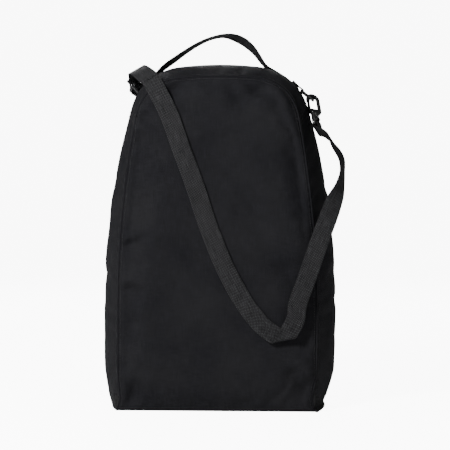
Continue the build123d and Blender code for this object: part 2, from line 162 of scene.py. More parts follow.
def halfOutline(shape, inset=0.0):
    half = shape["half"] - inset
    corner = max(shape["corner"] - inset, 2.0)
    side, sideRadius = shape["side"]
    shoulder, shoulderRadius = shape["shoulder"]
    top, topRadius = shape["top"]
    sideEnd = math.atan2(*(shoulder - side)[::-1])
    shoulderEnd = math.atan2(*(shoulder - top)[::-1])
    n = arcCounts
    return np.concatenate([
        [[0.0, inset]],
        line((0.0, inset), (half - corner, inset), n["foot"]),
        arc((half - corner, inset + corner), corner, -math.pi / 2, 0, n["corner"]),
        line((half, inset + corner), (half, shape["sideStart"]), n["wall"]),
        arc(side, sideRadius - inset, 0, sideEnd, n["side"]),
        arc(shoulder, max(shoulderRadius - inset, 3.0), sideEnd, shoulderEnd, n["shoulder"]),
        arc(top, topRadius - inset, shoulderEnd, math.pi / 2, n["top"]),
    ])


def outline(shape, inset=0.0):
    # Whole closed outline, from the middle of the foot up the right side and down the left
    right = halfOutline(shape, inset)
    left = right[1:-1][::-1] * np.array([-1, 1])
    return np.concatenate([right, left])


panelLow, panelHigh = boxOf("back_panel")
topLow, topHigh = boxOf("gusset_top")
crestHalf = boxOf("gusset_right")[1][0]
seamShape = archShape(panelHigh[0], panelHigh[2], 12.0, 130.0, 1430.0, 64.0, 480.0)
crestShape = archShape(crestHalf, topHigh[2], 22.0, 140.0, 960.0, 75.0, 500.0)
halfDepth = boxOf("gusset_right")[1][1]
panelStep = 2.0
crown = -panelLow[1] - halfDepth - panelStep
seamRing = outline(seamShape)
crestRing = outline(crestShape)
ringCount = len(seamRing)
shoulderSeamZ = topLow[2]
baseRise = boxOf("base_panel")[1][2]


def distanceTo(points, ring):
    # Distance from each point to a closed polyline
    start = ring
    end = np.roll(ring, -1, axis=0)
    edge = end - start
    rel = points[:, None, :] - start[None]
    t = np.clip((rel * edge).sum(-1) / (edge ** 2).sum(-1), 0, 1)
    near = start + t[..., None] * edge
    return np.linalg.norm(points[:, None, :] - near, axis=2).min(axis=1)


def undulation(a, b, seed, scale):
    # Sum of a few slow waves, between about -1 and 1
    total = np.zeros(len(a))
    rng = np.random.default_rng(seed)
    for k in range(7):
        way = rng.uniform(0, 2 * math.pi)
        size = rng.uniform(0.6, 1.8) / scale
        total += np.sin((a * math.cos(way) + b * math.sin(way)) * size * 2 * math.pi + rng.uniform(0, 6.3))
    return total / 3.5


# Creases in the back panel, in mm across and up: path, depth, width, and whether it is a fold or a furrow
creases = [
    {"path": [(-52, 443), (-60, 431), (-72, 414)], "depth": 5.2, "width": 10.0, "kind": "furrow"},
    {"path": [(-22, 449), (-34, 430), (-40, 408)], "depth": 3.9, "width": 14.0, "kind": "fold"},
    {"path": [(36, 412), (58, 423), (84, 436)], "depth": -4.7, "width": 8.0, "kind": "fold"},
    {"path": [(16, 444), (24, 424), (36, 406)], "depth": 3.8, "width": 9.0, "kind": "furrow"},
    {"path": [(-116, 405), (-97, 396), (-78, 385)], "depth": 7.4, "width": 7.0, "kind": "furrow"},
    {"path": [(-108, 383), (-92, 372), (-76, 350)], "depth": 4.9, "width": 10.0, "kind": "fold"},
    {"path": [(-132, 228), (-116, 231), (-98, 238)], "depth": 4.5, "width": 5.0, "kind": "fold"},
    {"path": [(-132, 168), (-114, 171), (-92, 164)], "depth": 4.5, "width": 7.0, "kind": "fold"},
    {"path": [(-103, 150), (-106, 124), (-103, 96)], "depth": 3.6, "width": 8.0, "kind": "fold"},
    {"path": [(-133, 4), (-122, 26), (-108, 52)], "depth": 3.8, "width": 8.0, "kind": "fold"},
    {"path": [(100, 66), (116, 50), (136, 28)], "depth": 5.0, "width": 8.0, "kind": "fold"},
    {"path": [(112, 24), (126, 34), (137, 50)], "depth": 3.8, "width": 7.0, "kind": "furrow"},
    {"path": [(86, 442), (97, 424), (103, 402)], "depth": -7.4, "width": 7.0, "kind": "fold"},
    {"path": [(100, 420), (108, 396), (118, 370)], "depth": 5.9, "width": 6.0, "kind": "furrow"},
    {"path": [(108, 360), (119, 322), (124, 280)], "depth": 5.4, "width": 11.0, "kind": "fold"},
    {"path": [(-92, 352), (-80, 290), (-92, 214)], "depth": 4.5, "width": 20.0, "kind": "fold"},
    {"path": [(60, 262), (92, 214), (118, 176)], "depth": 4.5, "width": 18.0, "kind": "fold"},
    {"path": [(-64, 446), (0, 451), (70, 443)], "depth": 2.5, "width": 3.0, "kind": "fold"},
]


def pathDistance(points, path):
    # Signed distance from an open polyline, and a fade towards its ends
    path = np.array(path, dtype=float)
    t = np.linspace(0, 1, 24)
    a, b, c = path
    bend = 2 * b - (a + c) / 2
    curve = ((1 - t) ** 2)[:, None] * a + (2 * t * (1 - t))[:, None] * bend + (t ** 2)[:, None] * c
    way = np.gradient(curve, axis=0)
    way /= np.linalg.norm(way, axis=1)[:, None]
    rel = points[:, None, :] - curve[None]
    near = (rel ** 2).sum(-1).argmin(axis=1)
    picked = rel[np.arange(len(points)), near]
    side = way[near, 0] * picked[:, 1] - way[near, 1] * picked[:, 0]
    reach = np.linalg.norm(picked, axis=1)
    fade = np.sin(math.pi * np.clip(t[near], 0.04, 0.96)) ** 0.6
    return np.sign(side) * reach, fade


def creased(points):
    # Outward shift of the back panel at points across and up
    shift = np.zeros(len(points))
    for one in creases:
        away, fade = pathDistance(points, one["path"])
        x = away / one["width"]
        if one["kind"] == "fold":
            wave = x * np.exp(0.5 - x ** 2 / 2)
        else:
            wave = -np.exp(-x ** 2) + 0.45 * np.exp(-((np.abs(x) - 1.7) / 0.8) ** 2)
        shift += one["depth"] * wave * fade
    return shift


def crownAt(distance, height, reach):
    t = np.clip(distance / reach, 0, 1)
    return height * (1 - (1 - t) ** 2.2)


gussetRows = 31
depths = np.linspace(-halfDepth, halfDepth, gussetRows)


def gussetPoint(row):
    bulge = 1 - (depths[row] / halfDepth) ** 2
    flat = seamRing + (crestRing - seamRing) * bulge
    return np.stack([flat[:, 0], np.full(ringCount, depths[row]), flat[:, 1]], axis=1)


def fillPanel(ring, spacing):
    # Triangles inside a closed ring; the ring's own points come first
    low, high = ring.min(axis=0), ring.max(axis=0)
    inner = []
    rowStep = spacing * math.sqrt(3) / 2
    for r, z in enumerate(np.arange(low[1] + rowStep, high[1], rowStep)):
        for x in np.arange(low[0] + (spacing / 2 if r % 2 else 0), high[0], spacing):
            inner.append((x, z))
    inner = np.array(inner)
    angle = np.zeros(len(inner))
    for a, b in zip(ring, np.roll(ring, -1, axis=0)):
        u, v = a - inner, b - inner
        angle += np.arctan2(u[:, 0] * v[:, 1] - u[:, 1] * v[:, 0], (u * v).sum(axis=1))
    inner = inner[(np.abs(angle) > 3) & (distanceTo(inner, ring) > spacing * 0.62)]
    both = np.concatenate([ring, inner])
    edges = [(i, (i + 1) % len(ring)) for i in range(len(ring))]
    out = geometry.delaunay_2d_cdt([Vector(p) for p in both], edges, [], 1, 1e-4)
    return both, list(out[2])


shellPoints = np.concatenate([gussetPoint(r) for r in range(gussetRows)])
shellFaces = [tuple(reversed(f)) for f in gridFaces(gussetRows, ringCount, closed=True)]
panelFlat, panelFaces = fillPanel(seamRing, 5.4)
panelY = -(halfDepth + panelStep * np.clip(distanceTo(panelFlat, seamRing) / 6, 0, 1)
           + crownAt(distanceTo(panelFlat, seamRing), crown * 0.86, 52.0))
panelY[:ringCount] = -halfDepth
panelPoints = np.stack([panelFlat[:, 0], panelY, panelFlat[:, 1]], axis=1)
panelBase = len(shellPoints)


def facing(faces, flat, sign):
    # The same faces, all turned one way round as seen in the flat
    turned = []
    for face in faces:
        a, b, c = (flat[i] for i in face[:3])
        turn = (b - a)[0] * (c - a)[1] - (b - a)[1] * (c - a)[0]
        turned.append(face if turn * sign > 0 else tuple(reversed(face)))
    return turned


def shellIndex(i):
    return i if i < ringCount else panelBase + i - ringCount


allPoints = np.concatenate([shellPoints, panelPoints[ringCount:]])
panelShell = [tuple(shellIndex(i) for i in face) for face in facing(panelFaces, panelFlat, 1)]
print("shell", len(allPoints), "points", len(shellFaces) + len(panelShell), "faces")


def simulate(points, faces, held, growth, pressure, cap):
    # Cloth slightly larger than its pattern, blown out gently, held along its seams, and moved up to the cap
    made = makeObject("simulated", points, faces)
    group = made.vertex_groups.new(name="held")
    for i, amount in enumerate(held):
        if amount > 0:
            group.add([i], float(amount), "REPLACE")
    cloth = made.modifiers.new("cloth", "CLOTH")
    settings = cloth.settings
    settings.quality = 7
    settings.mass = 0.25
    settings.tension_stiffness = 22
    settings.compression_stiffness = 22
    settings.shear_stiffness = 6
    settings.bending_stiffness = 1.6
    settings.use_pressure = True
    settings.uniform_pressure_force = pressure
    settings.effector_weights.gravity = 0
    settings.vertex_group_mass = "held"
    settings.shrink_min = -growth
    cloth.collision_settings.use_collision = False
    cloth.point_cache.frame_start = 1
    cloth.point_cache.frame_end = 20
    for count in range(1, 21):
        bpy.context.scene.frame_set(count)
    seen = made.evaluated_get(bpy.context.evaluated_depsgraph_get())
    moved = np.empty(len(points) * 3)
    seen.data.vertices.foreach_get("co", moved)
    moved = moved.reshape(-1, 3) / mm
    bpy.context.scene.frame_set(1)
    bpy.data.objects.remove(made, do_unlink=True)
    shift = moved - points
    size = np.linalg.norm(shift, axis=1)
    shift *= (cap * np.tanh(size / cap) / np.maximum(size, 1e-9))[:, None]
    print("  cloth moved up to", round(float(size.max()), 2), "mean", round(float(size.mean()), 2))
    return points + shift


seamHold = np.zeros(len(allPoints))
seamHold[:ringCount] = 1.0
seamHold[ringCount * (gussetRows - 1):ringCount * gussetRows] = 1.0
seamHold[allPoints[:, 2] < 3] = 1.0
panelPart = np.arange(len(allPoints)) >= panelBase
clothPoints = simulate(allPoints, shellFaces + panelShell, seamHold, growth=0.014, pressure=2.6, cap=3.2)

# Settled shape: cloth result, slow waves, the creases of the back panel, and the pressed-in lower corners
seamDistance = distanceTo(allPoints[:, [0, 2]], seamRing)
free = np.clip(seamDistance / 18, 0, 1)
free[~panelPart] = np.clip((1 - (allPoints[~panelPart, 1] / halfDepth) ** 2) * 2.2, 0, 1)
settled = clothPoints.copy()
waves = undulation(allPoints[:, 0], allPoints[:, 2], 5, 120.0)
settled[panelPart, 1] -= (waves * 1.1 * free)[panelPart]
panelShift = creased(allPoints[panelPart][:, [0, 2]]) * np.clip(seamDistance[panelPart] / 9, 0, 1)
settled[panelPart, 1] -= panelShift
# The panel flattens where it would reach the strap
strapClear = {"from": 79.0, "room": 5.6}
proud = np.clip(-settled[panelPart, 1] - strapClear["from"], 0, None)
settled[panelPart, 1] += proud - strapClear["room"] * np.tanh(proud / strapClear["room"])


def gussetWay(points):
    way = points[:, [0, 2]] - np.array([0.0, 250.0])
    way[:, 1] *= np.where(points[:, 2] > 330, 1.0, 0.15)
    return way / np.linalg.norm(way, axis=1)[:, None]


sideWaves = undulation(allPoints[:, 1] * 1.3, allPoints[:, 2], 11, 90.0)
outward = gussetWay(allPoints)
gussetShift = (sideWaves * 0.7 * free)[~panelPart]
above = (allPoints[~panelPart, 2] > 20).astype(float)
settled[~panelPart, 0] += outward[~panelPart, 0] * gussetShift * above
settled[~panelPart, 2] += outward[~panelPart, 1] * gussetShift * above


cornerSlump = {"right": 18.0, "left": 8.0, "height": 52.0, "hollow": 2.0, "hollowHeight": 60.0}
cornerFill = {"right": 1.05, "left": 0.85}


def pressed(points):
    # The lower corners slump inwards, the right one more, with a hollow above it, and fill out at the foot
    x, y, z = points[:, 0].copy(), points[:, 1].copy(), points[:, 2].copy()
    low = np.clip(1 - z / cornerSlump["height"], 0, 1) ** 1.2
    edge = np.clip((np.abs(x) - 95) / 60, 0, 1)
    radius = crestShape["corner"]
    outer = np.clip((np.abs(x) - 70) / 40, 0, 1)
    foot = radius * (1 - np.sqrt(1 - np.clip(1 - z / radius, 0, 1) ** 2)) * outer
    x -= np.sign(x) * low * edge * np.where(x > 0, cornerSlump["right"], cornerSlump["left"])
    x += np.sign(x) * foot * np.where(x > 0, cornerFill["right"], cornerFill["left"])
    hollow = np.exp(-((z - cornerSlump["hollowHeight"]) / 26) ** 2) * np.clip((x - 122) / 30, 0, 1)
    x -= hollow * cornerSlump["hollow"]
    return np.stack([x, y, z], axis=1)


settled = pressed(settled)
settled[:, 2] = np.maximum(settled[:, 2], 0.0)
print("shell settled")

surface = BVHTree.FromPolygons([Vector(p) for p in settled], shellFaces + panelShell)


def onSurface(point, lift):
    near, normal, _, _ = surface.find_nearest(Vector(point))
    if (Vector(point) - Vector((0, 0, 230))).dot(normal) < 0:
        normal = -normal
    return np.array(near) + np.array(normal) * lift, np.array(normal)


def node(tree, kind, **values):
    made = tree.nodes.new(kind)
    for key, value in values.items():
        if key.startswith("in_"):
            made.inputs[key[3:]].default_value = value
        elif key.startswith("at_"):
            made.inputs[int(key[3:])].default_value = value
        else:
            setattr(made, key, value)
    return made


def calc(tree, operation, a, b=None, c=None):
    made = tree.nodes.new("ShaderNodeMath")
    made.operation = operation
    for i, value in enumerate((a, b, c)):
        if value is None:
            continue
        if isinstance(value, (int, float)):
            made.inputs[i].default_value = value
        else:
            tree.links.new(value, made.inputs[i])
    return made.outputs[0]


def weaveGroup(name, warpPitch, weftPitch, twill, depth):
    # Threads over and under each other: painted shade of the threads (lighter on their crowns, darker between them
    # and where they pass under), their slubs and a normal
    group = bpy.data.node_groups.new(name, "ShaderNodeTree")
    for label, kind in (("Position", "NodeSocketVector"), ("Strength", "NodeSocketFloat")):
        group.interface.new_socket(name=label, in_out="INPUT", socket_type=kind)
    sockets = (("ThreadShade", "NodeSocketFloat"), ("Slub", "NodeSocketFloat"), ("Normal", "NodeSocketVector"))
    for label, kind in sockets:
        group.interface.new_socket(name=label, in_out="OUTPUT", socket_type=kind)
    start = group.nodes.new("NodeGroupInput")
    end = group.nodes.new("NodeGroupOutput")
    link = group.links.new
    warpNoise = node(group, "ShaderNodeTexNoise", in_Scale=240.0, in_Detail=2.0)
    link(start.outputs["Position"], warpNoise.inputs["Vector"])
    split = group.nodes.new("ShaderNodeSeparateXYZ")
    link(start.outputs["Position"], split.inputs[0])
    swing = calc(group, "SUBTRACT", warpNoise.outputs["Fac"], 0.5)
    drift = calc(group, "MULTIPLY", swing, warpPitch * mm * 0.9)
    u = calc(group, "DIVIDE", calc(group, "ADD", split.outputs[0], drift), warpPitch * mm)
    v = calc(group, "DIVIDE", calc(group, "ADD", split.outputs[1], drift), weftPitch * mm)
    warpRound = calc(group, "ABSOLUTE", calc(group, "SINE", calc(group, "MULTIPLY", u, math.pi)))
    weftRound = calc(group, "ABSOLUTE", calc(group, "SINE", calc(group, "MULTIPLY", v, math.pi)))
    cell = calc(group, "ADD", calc(group, "FLOOR", u), calc(group, "FLOOR", v))
    over = calc(group, "LESS_THAN", calc(group, "FLOORED_MODULO", cell, float(twill)), twill / 2)
    weftSoft = calc(group, "ADD", calc(group, "MULTIPLY", weftRound, 0.5), 0.5)
    warpSoft = calc(group, "ADD", calc(group, "MULTIPLY", warpRound, 0.5), 0.5)
    warpHigh = calc(group, "MULTIPLY", warpRound, weftSoft)
    weftHigh = calc(group, "MULTIPLY", weftRound, warpSoft)
    pick = group.nodes.new("ShaderNodeMix")
    link(over, pick.inputs[0])
    link(weftHigh, pick.inputs[2])
    link(warpHigh, pick.inputs[3])
    stretch = node(group, "ShaderNodeMapping", vector_type="POINT")
    stretch.inputs["Scale"].default_value = (60.0, 1500.0, 60.0)
    link(start.outputs["Position"], stretch.inputs["Vector"])
    weftSlub = node(group, "ShaderNodeTexNoise", in_Scale=1.0, in_Detail=3.0)
    link(stretch.outputs[0], weftSlub.inputs["Vector"])
    stretchUp = node(group, "ShaderNodeMapping", vector_type="POINT")
    stretchUp.inputs["Scale"].default_value = (1300.0, 50.0, 60.0)
    link(start.outputs["Position"], stretchUp.inputs["Vector"])
    warpSlub = node(group, "ShaderNodeTexNoise", in_Scale=1.0, in_Detail=3.0)
    link(stretchUp.outputs[0], warpSlub.inputs["Vector"])
    slub = calc(group, "MULTIPLY", calc(group, "ADD", weftSlub.outputs["Fac"], warpSlub.outputs["Fac"]), 0.5)
    high = calc(group, "ADD", pick.outputs[0], calc(group, "MULTIPLY", slub, 1.2))
    bump = node(group, "ShaderNodeBump", in_Distance=depth * mm)
    link(start.outputs["Strength"], bump.inputs["Strength"])
    link(high, bump.inputs["Height"])
    # Painted shade: colour is lighter on each thread's crown, darker between threads, and darkest where a thread
    # passes under
    crossing = calc(group, "ADD", calc(group, "MULTIPLY", over, 0.85), 0.15)
    paintedThreadShade = calc(group, "MULTIPLY", pick.outputs[0], crossing)
    link(paintedThreadShade, end.inputs["ThreadShade"])
    link(slub, end.inputs["Slub"])
    link(bump.outputs[0], end.inputs["Normal"])
    return group


def soilGroup():
    # Broad patches of dust and handling, from the place on the object
    group = bpy.data.node_groups.new("soiling", "ShaderNodeTree")
    group.interface.new_socket(name="Position", in_out="INPUT", socket_type="NodeSocketVector")
    for label in ("Patches", "Specks"):
        group.interface.new_socket(name=label, in_out="OUTPUT", socket_type="NodeSocketFloat")
    start = group.nodes.new("NodeGroupInput")
    end = group.nodes.new("NodeGroupOutput")
    broad = node(group, "ShaderNodeTexNoise", in_Scale=14.0, in_Detail=5.0, in_Roughness=0.6)
    fine = node(group, "ShaderNodeTexNoise", in_Scale=900.0, in_Detail=1.0)
    group.links.new(start.outputs[0], broad.inputs["Vector"])
    group.links.new(start.outputs[0], fine.inputs["Vector"])
    patches = node(group, "ShaderNodeMapRange", at_1=0.35, at_2=0.75)
    specks = node(group, "ShaderNodeMapRange", at_1=0.68, at_2=0.8)
    group.links.new(broad.outputs["Fac"], patches.inputs[0])
    group.links.new(fine.outputs["Fac"], specks.inputs[0])
    group.links.new(patches.outputs[0], end.inputs["Patches"])
    group.links.new(specks.outputs[0], end.inputs["Specks"])
    return group


plainWeave = weaveGroup("plainWeave", 0.62, 0.58, 2, 0.16)
webWeave = weaveGroup("webWeave", 1.45, 1.4, 2, 0.5)
tapeWeave = weaveGroup("tapeWeave", 0.9, 0.7, 4, 0.16)
soiling = soilGroup()


dustColour = (0.032, 0.031, 0.031)
clothSpecular = 0.10


def mixColour(tree, factor, first, second):
    made = tree.nodes.new("ShaderNodeMix")
    made.data_type = "RGBA"
    for value, place in ((factor, 0), (first, 6), (second, 7)):
        if hasattr(value, "is_linked"):
            tree.links.new(value, made.inputs[place])
        else:
            made.inputs[place].default_value = value
    return made.outputs[2]


def clothMaterial(name, weave, dark, light, strength=1.0, roughness=0.82, sheen=0.0, uvs=True):
    material = bpy.data.materials.new(name)
    material.use_nodes = True
    tree = material.node_tree
    shader = tree.nodes["Principled BSDF"]
    place = tree.nodes.new("ShaderNodeTexCoord")
    fibres = tree.nodes.new("ShaderNodeGroup")
    fibres.node_tree = weave
    fibres.inputs["Strength"].default_value = strength
    tree.links.new(place.outputs["UV" if uvs else "Object"], fibres.inputs["Position"])
    soil = tree.nodes.new("ShaderNodeGroup")
    soil.node_tree = soiling
    tree.links.new(place.outputs["Object"], soil.inputs["Position"])
    # Colour runs from dark to light with the painted thread shade of the weave and with the slubs, which are the
    # yarn's own tone
    threadShadeAndSlub = calc(tree, "MULTIPLY", fibres.outputs["ThreadShade"], 0.75)
    slubs = calc(tree, "MULTIPLY", calc(tree, "SUBTRACT", fibres.outputs["Slub"], 0.5), 1.6)
    threadShadeAndSlub = calc(tree, "ADD", threadShadeAndSlub, slubs)
    colour = mixColour(tree, threadShadeAndSlub, (*dark, 1), (*light, 1))
    amount = calc(tree, "ADD", calc(tree, "MULTIPLY", soil.outputs["Patches"], 0.16),
                  calc(tree, "MULTIPLY", soil.outputs["Specks"], 0.10))
    colour = mixColour(tree, amount, colour, (*dustColour, 1))
    tree.links.new(colour, shader.inputs["Base Color"])
    rough = calc(tree, "ADD", calc(tree, "MULTIPLY", fibres.outputs["Slub"], 0.22), roughness - 0.11)
    tree.links.new(rough, shader.inputs["Roughness"])
    tree.links.new(fibres.outputs["Normal"], shader.inputs["Normal"])
    shader.inputs["Sheen Weight"].default_value = sheen
    shader.inputs["Sheen Roughness"].default_value = 0.45
    shader.inputs["Specular IOR Level"].default_value = clothSpecular
    return material


def metalMaterial(name, colour, worn, roughness, metallic, coat):
    material = bpy.data.materials.new(name)
    material.use_nodes = True
    tree = material.node_tree
    shader = tree.nodes["Principled BSDF"]
    place = tree.nodes.new("ShaderNodeTexCoord")
    soil = tree.nodes.new("ShaderNodeGroup")
    soil.node_tree = soiling
    tree.links.new(place.outputs["Object"], soil.inputs["Position"])
    shape = tree.nodes.new("ShaderNodeNewGeometry")
    edge = node(tree, "ShaderNodeMapRange", at_1=0.53, at_2=0.62)
    tree.links.new(shape.outputs["Pointiness"], edge.inputs[0])
    scuff = node(tree, "ShaderNodeTexNoise", in_Scale=420.0, in_Detail=5.0)
    tree.links.new(place.outputs["Object"], scuff.inputs["Vector"])
    rub = node(tree, "ShaderNodeMapRange", at_1=0.45, at_2=0.62)
    tree.links.new(scuff.outputs["Fac"], rub.inputs[0])
    wear = calc(tree, "MULTIPLY", edge.outputs[0], rub.outputs[0])
    tree.links.new(mixColour(tree, wear, (*colour, 1), (*worn, 1)), shader.inputs["Base Color"])
    rough = calc(tree, "ADD", calc(tree, "MULTIPLY", scuff.outputs["Fac"], 0.18), roughness - 0.09)
    tree.links.new(calc(tree, "ADD", rough, calc(tree, "MULTIPLY", soil.outputs["Patches"], 0.06)),
                   shader.inputs["Roughness"])
    bump = node(tree, "ShaderNodeBump", in_Strength=0.25, in_Distance=0.05 * mm)
    tree.links.new(scuff.outputs["Fac"], bump.inputs["Height"])
    tree.links.new(bump.outputs[0], shader.inputs["Normal"])
    shader.inputs["Metallic"].default_value = metallic
    shader.inputs["Coat Weight"].default_value = coat
    shader.inputs["Coat Roughness"].default_value = 0.18
    return material


shellCloth = clothMaterial("shellCloth", plainWeave, (0.0022, 0.0022, 0.0030), (0.0175, 0.0175, 0.0215))
baseCloth = clothMaterial("baseCloth", plainWeave, (0.0026, 0.0026, 0.003), (0.010, 0.010, 0.011), 1.3, 0.66)
liningCloth = clothMaterial("liningCloth", plainWeave, (0.008, 0.008, 0.009), (0.026, 0.026, 0.028),
                            0.6, 0.55, 0.02)
webbingCloth = clothMaterial("webbingCloth", webWeave, (0.0002, 0.0002, 0.0004), (0.078, 0.078, 0.083),
                             1.4, 0.7)
bindingCloth = clothMaterial("bindingCloth", tapeWeave, (0.007, 0.007, 0.008), (0.026, 0.026, 0.027))
tapeCloth = clothMaterial("tapeCloth", tapeWeave, (0.003, 0.003, 0.0034), (0.013, 0.013, 0.014))
threadCloth = clothMaterial("threadCloth", plainWeave, (0.010, 0.010, 0.011), (0.04, 0.04, 0.042),
                            0.5, 0.5, 0.03, uvs=False)
coilPlastic = metalMaterial("coilPlastic", (0.012, 0.012, 0.013), (0.04, 0.04, 0.04), 0.42, 0.0, 0.1)
blackMetal = metalMaterial("blackMetal", (0.018, 0.018, 0.019), (0.30, 0.30, 0.31), 0.24, 0.75, 0.5)
zipMetal = metalMaterial("zipMetal", (0.02, 0.02, 0.021), (0.26, 0.26, 0.27), 0.3, 0.7, 0.4)
boardPlastic = metalMaterial("boardPlastic", (0.05, 0.05, 0.05), (0.09, 0.09, 0.09), 0.6, 0.0, 0.0)
print("materials made")

ringLength = lengthsAlong(crestRing)
shellUvs = np.zeros((len(allPoints), 2))
shellUvs[:panelBase, 0] = np.tile(ringLength, gussetRows)
shellUvs[:panelBase, 1] = np.repeat(depths, ringCount)
shellUvs[panelBase:] = allPoints[panelBase:][:, [0, 2]]


def takePart(name, chosen, uvs):
    used = sorted({i for f in chosen for i in f})
    index = {old: new for new, old in enumerate(used)}
    made = makeObject(name, settled[used], [[index[i] for i in f] for f in chosen], uvs[used])
    subdivide(made)
    solidify(made, 1.6, -1.0, 1)
    return made


middles = {"z": [], "x": []}
for face in shellFaces:
    corner = allPoints[list(face)]
    middles["z"].append(corner[:, 2].mean())
    middles["x"].append(corner[:, 0].mean())
middleZ, middleX = np.array(middles["z"]), np.array(middles["x"])
groups = {
    "topGusset": middleZ > shoulderSeamZ,
    "leftGusset": (middleZ <= shoulderSeamZ) & (middleZ > baseRise) & (middleX < 0),
    "rightGusset": (middleZ <= shoulderSeamZ) & (middleZ > baseRise) & (middleX > 0),
    "baseGusset": middleZ <= baseRise,
}
gussetNodes = {"topGusset": "gusset_top", "leftGusset": "gusset_left", "rightGusset": "gusset_right",
               "baseGusset": "base_panel"}
for label, mask in groups.items():
    part = takePart(label, [shellFaces[i] for i in np.nonzero(mask)[0]], shellUvs)
    cloth = baseCloth if label == "baseGusset" else shellCloth
    finishPiece(part, [cloth, liningCloth], "bag", [gussetNodes[label]])
panelUvs = shellUvs.copy()
panelUvs[:ringCount] = seamRing
backPanel = takePart("backPanel", panelShell, panelUvs)
finishPiece(backPanel, [shellCloth, liningCloth], "bag", ["back_panel"])
print("shell pieces made")


def ringTube(name, path, radius, sides=8):
    # Closed tube along a ring of points
    way = np.roll(path, -1, axis=0) - np.roll(path, 1, axis=0)
    way /= np.linalg.norm(way, axis=1)[:, None]
    centre = path.mean(axis=0)
    out = path - centre
    out -= (out * way).sum(axis=1)[:, None] * way
    out /= np.maximum(np.linalg.norm(out, axis=1)[:, None], 1e-9)
    side = np.cross(way, out)
    angles = np.linspace(0, 2 * math.pi, sides, endpoint=False)
    points = path[:, None, :] + radius * (np.cos(angles)[None, :, None] * out[:, None, :]
                                          + np.sin(angles)[None, :, None] * side[:, None, :])
    rows = len(path)
    points = points.reshape(-1, 3)
    faces = []
    for r in range(rows):
        q = (r + 1) % rows
        for s in range(sides):
            t = (s + 1) % sides
            faces.append((r * sides + s, r * sides + t, q * sides + t, q * sides + s))
    length = lengthsAlong(path)
    uvs = np.stack([np.repeat(length, sides), np.tile(angles * radius, rows)], axis=1)
    return makeObject(name, points, faces, uvs)


backSeam = settled[:ringCount]
frontSeam = settled[ringCount * (gussetRows - 1):ringCount * gussetRows]
for label, ring in (("backSeamWelt", backSeam), ("frontSeamWelt", frontSeam)):
    low = ring[:, 2] < 1.5
    ring = ring.copy()
    ring[low, 2] = 1.5
    welt = ringTube(label, ring, 1.25)
    finishPiece(welt, shellCloth, "bag", ())


def resample(path, step):
    path = np.array(path)
    lengths = lengthsAlong(path)
    count = max(int(round(lengths[-1] / step)), 1)
    at = np.linspace(0, lengths[-1], count + 1)
    return np.stack([np.interp(at, lengths, path[:, k]) for k in range(path.shape[1])], axis=1)


seamStitch = {"pitch": 3.3, "length": 2.5, "radius": 0.28}
boxStitches = {"pitch": 2.6, "length": 2.0, "radius": 0.24}
stitchInset = 3.6


def stitchRow(name, path, body, size=seamStitch, lift=0.25, normal=None):
    # Short raised stitches that dip into the cloth at both ends, laid on the shell where no normal is given
    marks = resample(path, size["pitch"])
    length, radius = size["length"], size["radius"]
    points, faces = [], []
    sides = 6
    for a, b in zip(marks, marks[1:]):
        middle = (a + b) / 2
        way = unit(b - a)
        if normal is None:
            middle, up = onSurface(middle, lift)
        else:
            up = unit(normal)
            middle = middle + up * lift
        side = np.cross(way, up)
        start = len(points)
        for t in (-0.5, -0.25, 0.0, 0.25, 0.5):
            rise = radius * (0.9 - 7.0 * t * t)
            girth = radius * math.sqrt(max(1 - (2 * t) ** 4, 0.08))
            centre = middle + way * length * t + up * rise
            for s in range(sides):
                angle = 2 * math.pi * s / sides
                points.append(centre + girth * (math.cos(angle) * up + math.sin(angle) * side))
        for r in range(4):
            for s in range(sides):
                q = (s + 1) % sides
                faces.append((start + r * sides + s, start + r * sides + q,
                              start + (r + 1) * sides + q, start + (r + 1) * sides + s))
        faces.append([start + s for s in reversed(range(sides))])
        faces.append([start + 4 * sides + s for s in range(sides)])
    made = makeObject(name, points, faces)
    return finishPiece(made, threadCloth, body)


insetRing = outline(seamShape, stitchInset)
upper = slice(arcCounts["foot"] + 3, ringCount - arcCounts["foot"] - 2)
backLine = np.stack([insetRing[:, 0], np.full(ringCount, -halfDepth - 2.5), insetRing[:, 1]], axis=1)[upper]
stitchRow("backPanelStitches", pressed(backLine), "bag")
for label, row in (("backGussetStitches", 1), ("frontGussetStitches", gussetRows - 2)):
    gussetLine = settled[ringCount * row:ringCount * (row + 1)][upper]
    stitchRow(label, gussetLine, "bag")
for label, height, sign in (("rightShoulderSeam", shoulderSeamZ, 1), ("leftShoulderSeam", shoulderSeamZ, -1)):
    column = int(np.argmin(np.abs(crestRing[:, 1] - height) + (crestRing[:, 0] * sign < 0) * 999))
    cross = settled[column + ringCount * np.arange(gussetRows)]
    for shift, suffix in ((-3.2, "Lower"), (3.2, "Upper")):
        moved = cross + np.array([0, 0, shift])
        stitchRow(label + suffix, moved[1:-1], "bag")
print("seams stitched")


def stripMesh(name, insets, y, lowZ):
    # Band that follows the seam between the insets, from lowZ up and over
    rows, uvs = [], []
    for inset in insets:
        ring = outline(seamShape, inset)
        keep = ring[arcCounts["foot"] + 1:ringCount - arcCounts["foot"]]
        right = keep[:len(keep) // 2 + 1]
        right = right[right[:, 1] > lowZ]
        right = np.concatenate([[[np.interp(lowZ, keep[:60, 1], keep[:60, 0]), lowZ]], right])
        rows.append(right)
    count = min(len(r) for r in rows)
    rows = [np.concatenate([r[:1], r[len(r) - count + 1:]]) for r in rows]
    points = []
    for row, inset in zip(rows, insets):
        full = np.concatenate([row, row[:-1][::-1] * np.array([-1, 1])])
        length = lengthsAlong(full)
        for (x, z), s in zip(full, length):
            points.append((x, y, z))
            uvs.append((s, inset))
    faces = gridFaces(len(insets), 2 * count - 1)
    return makeObject(name, points, faces, uvs)


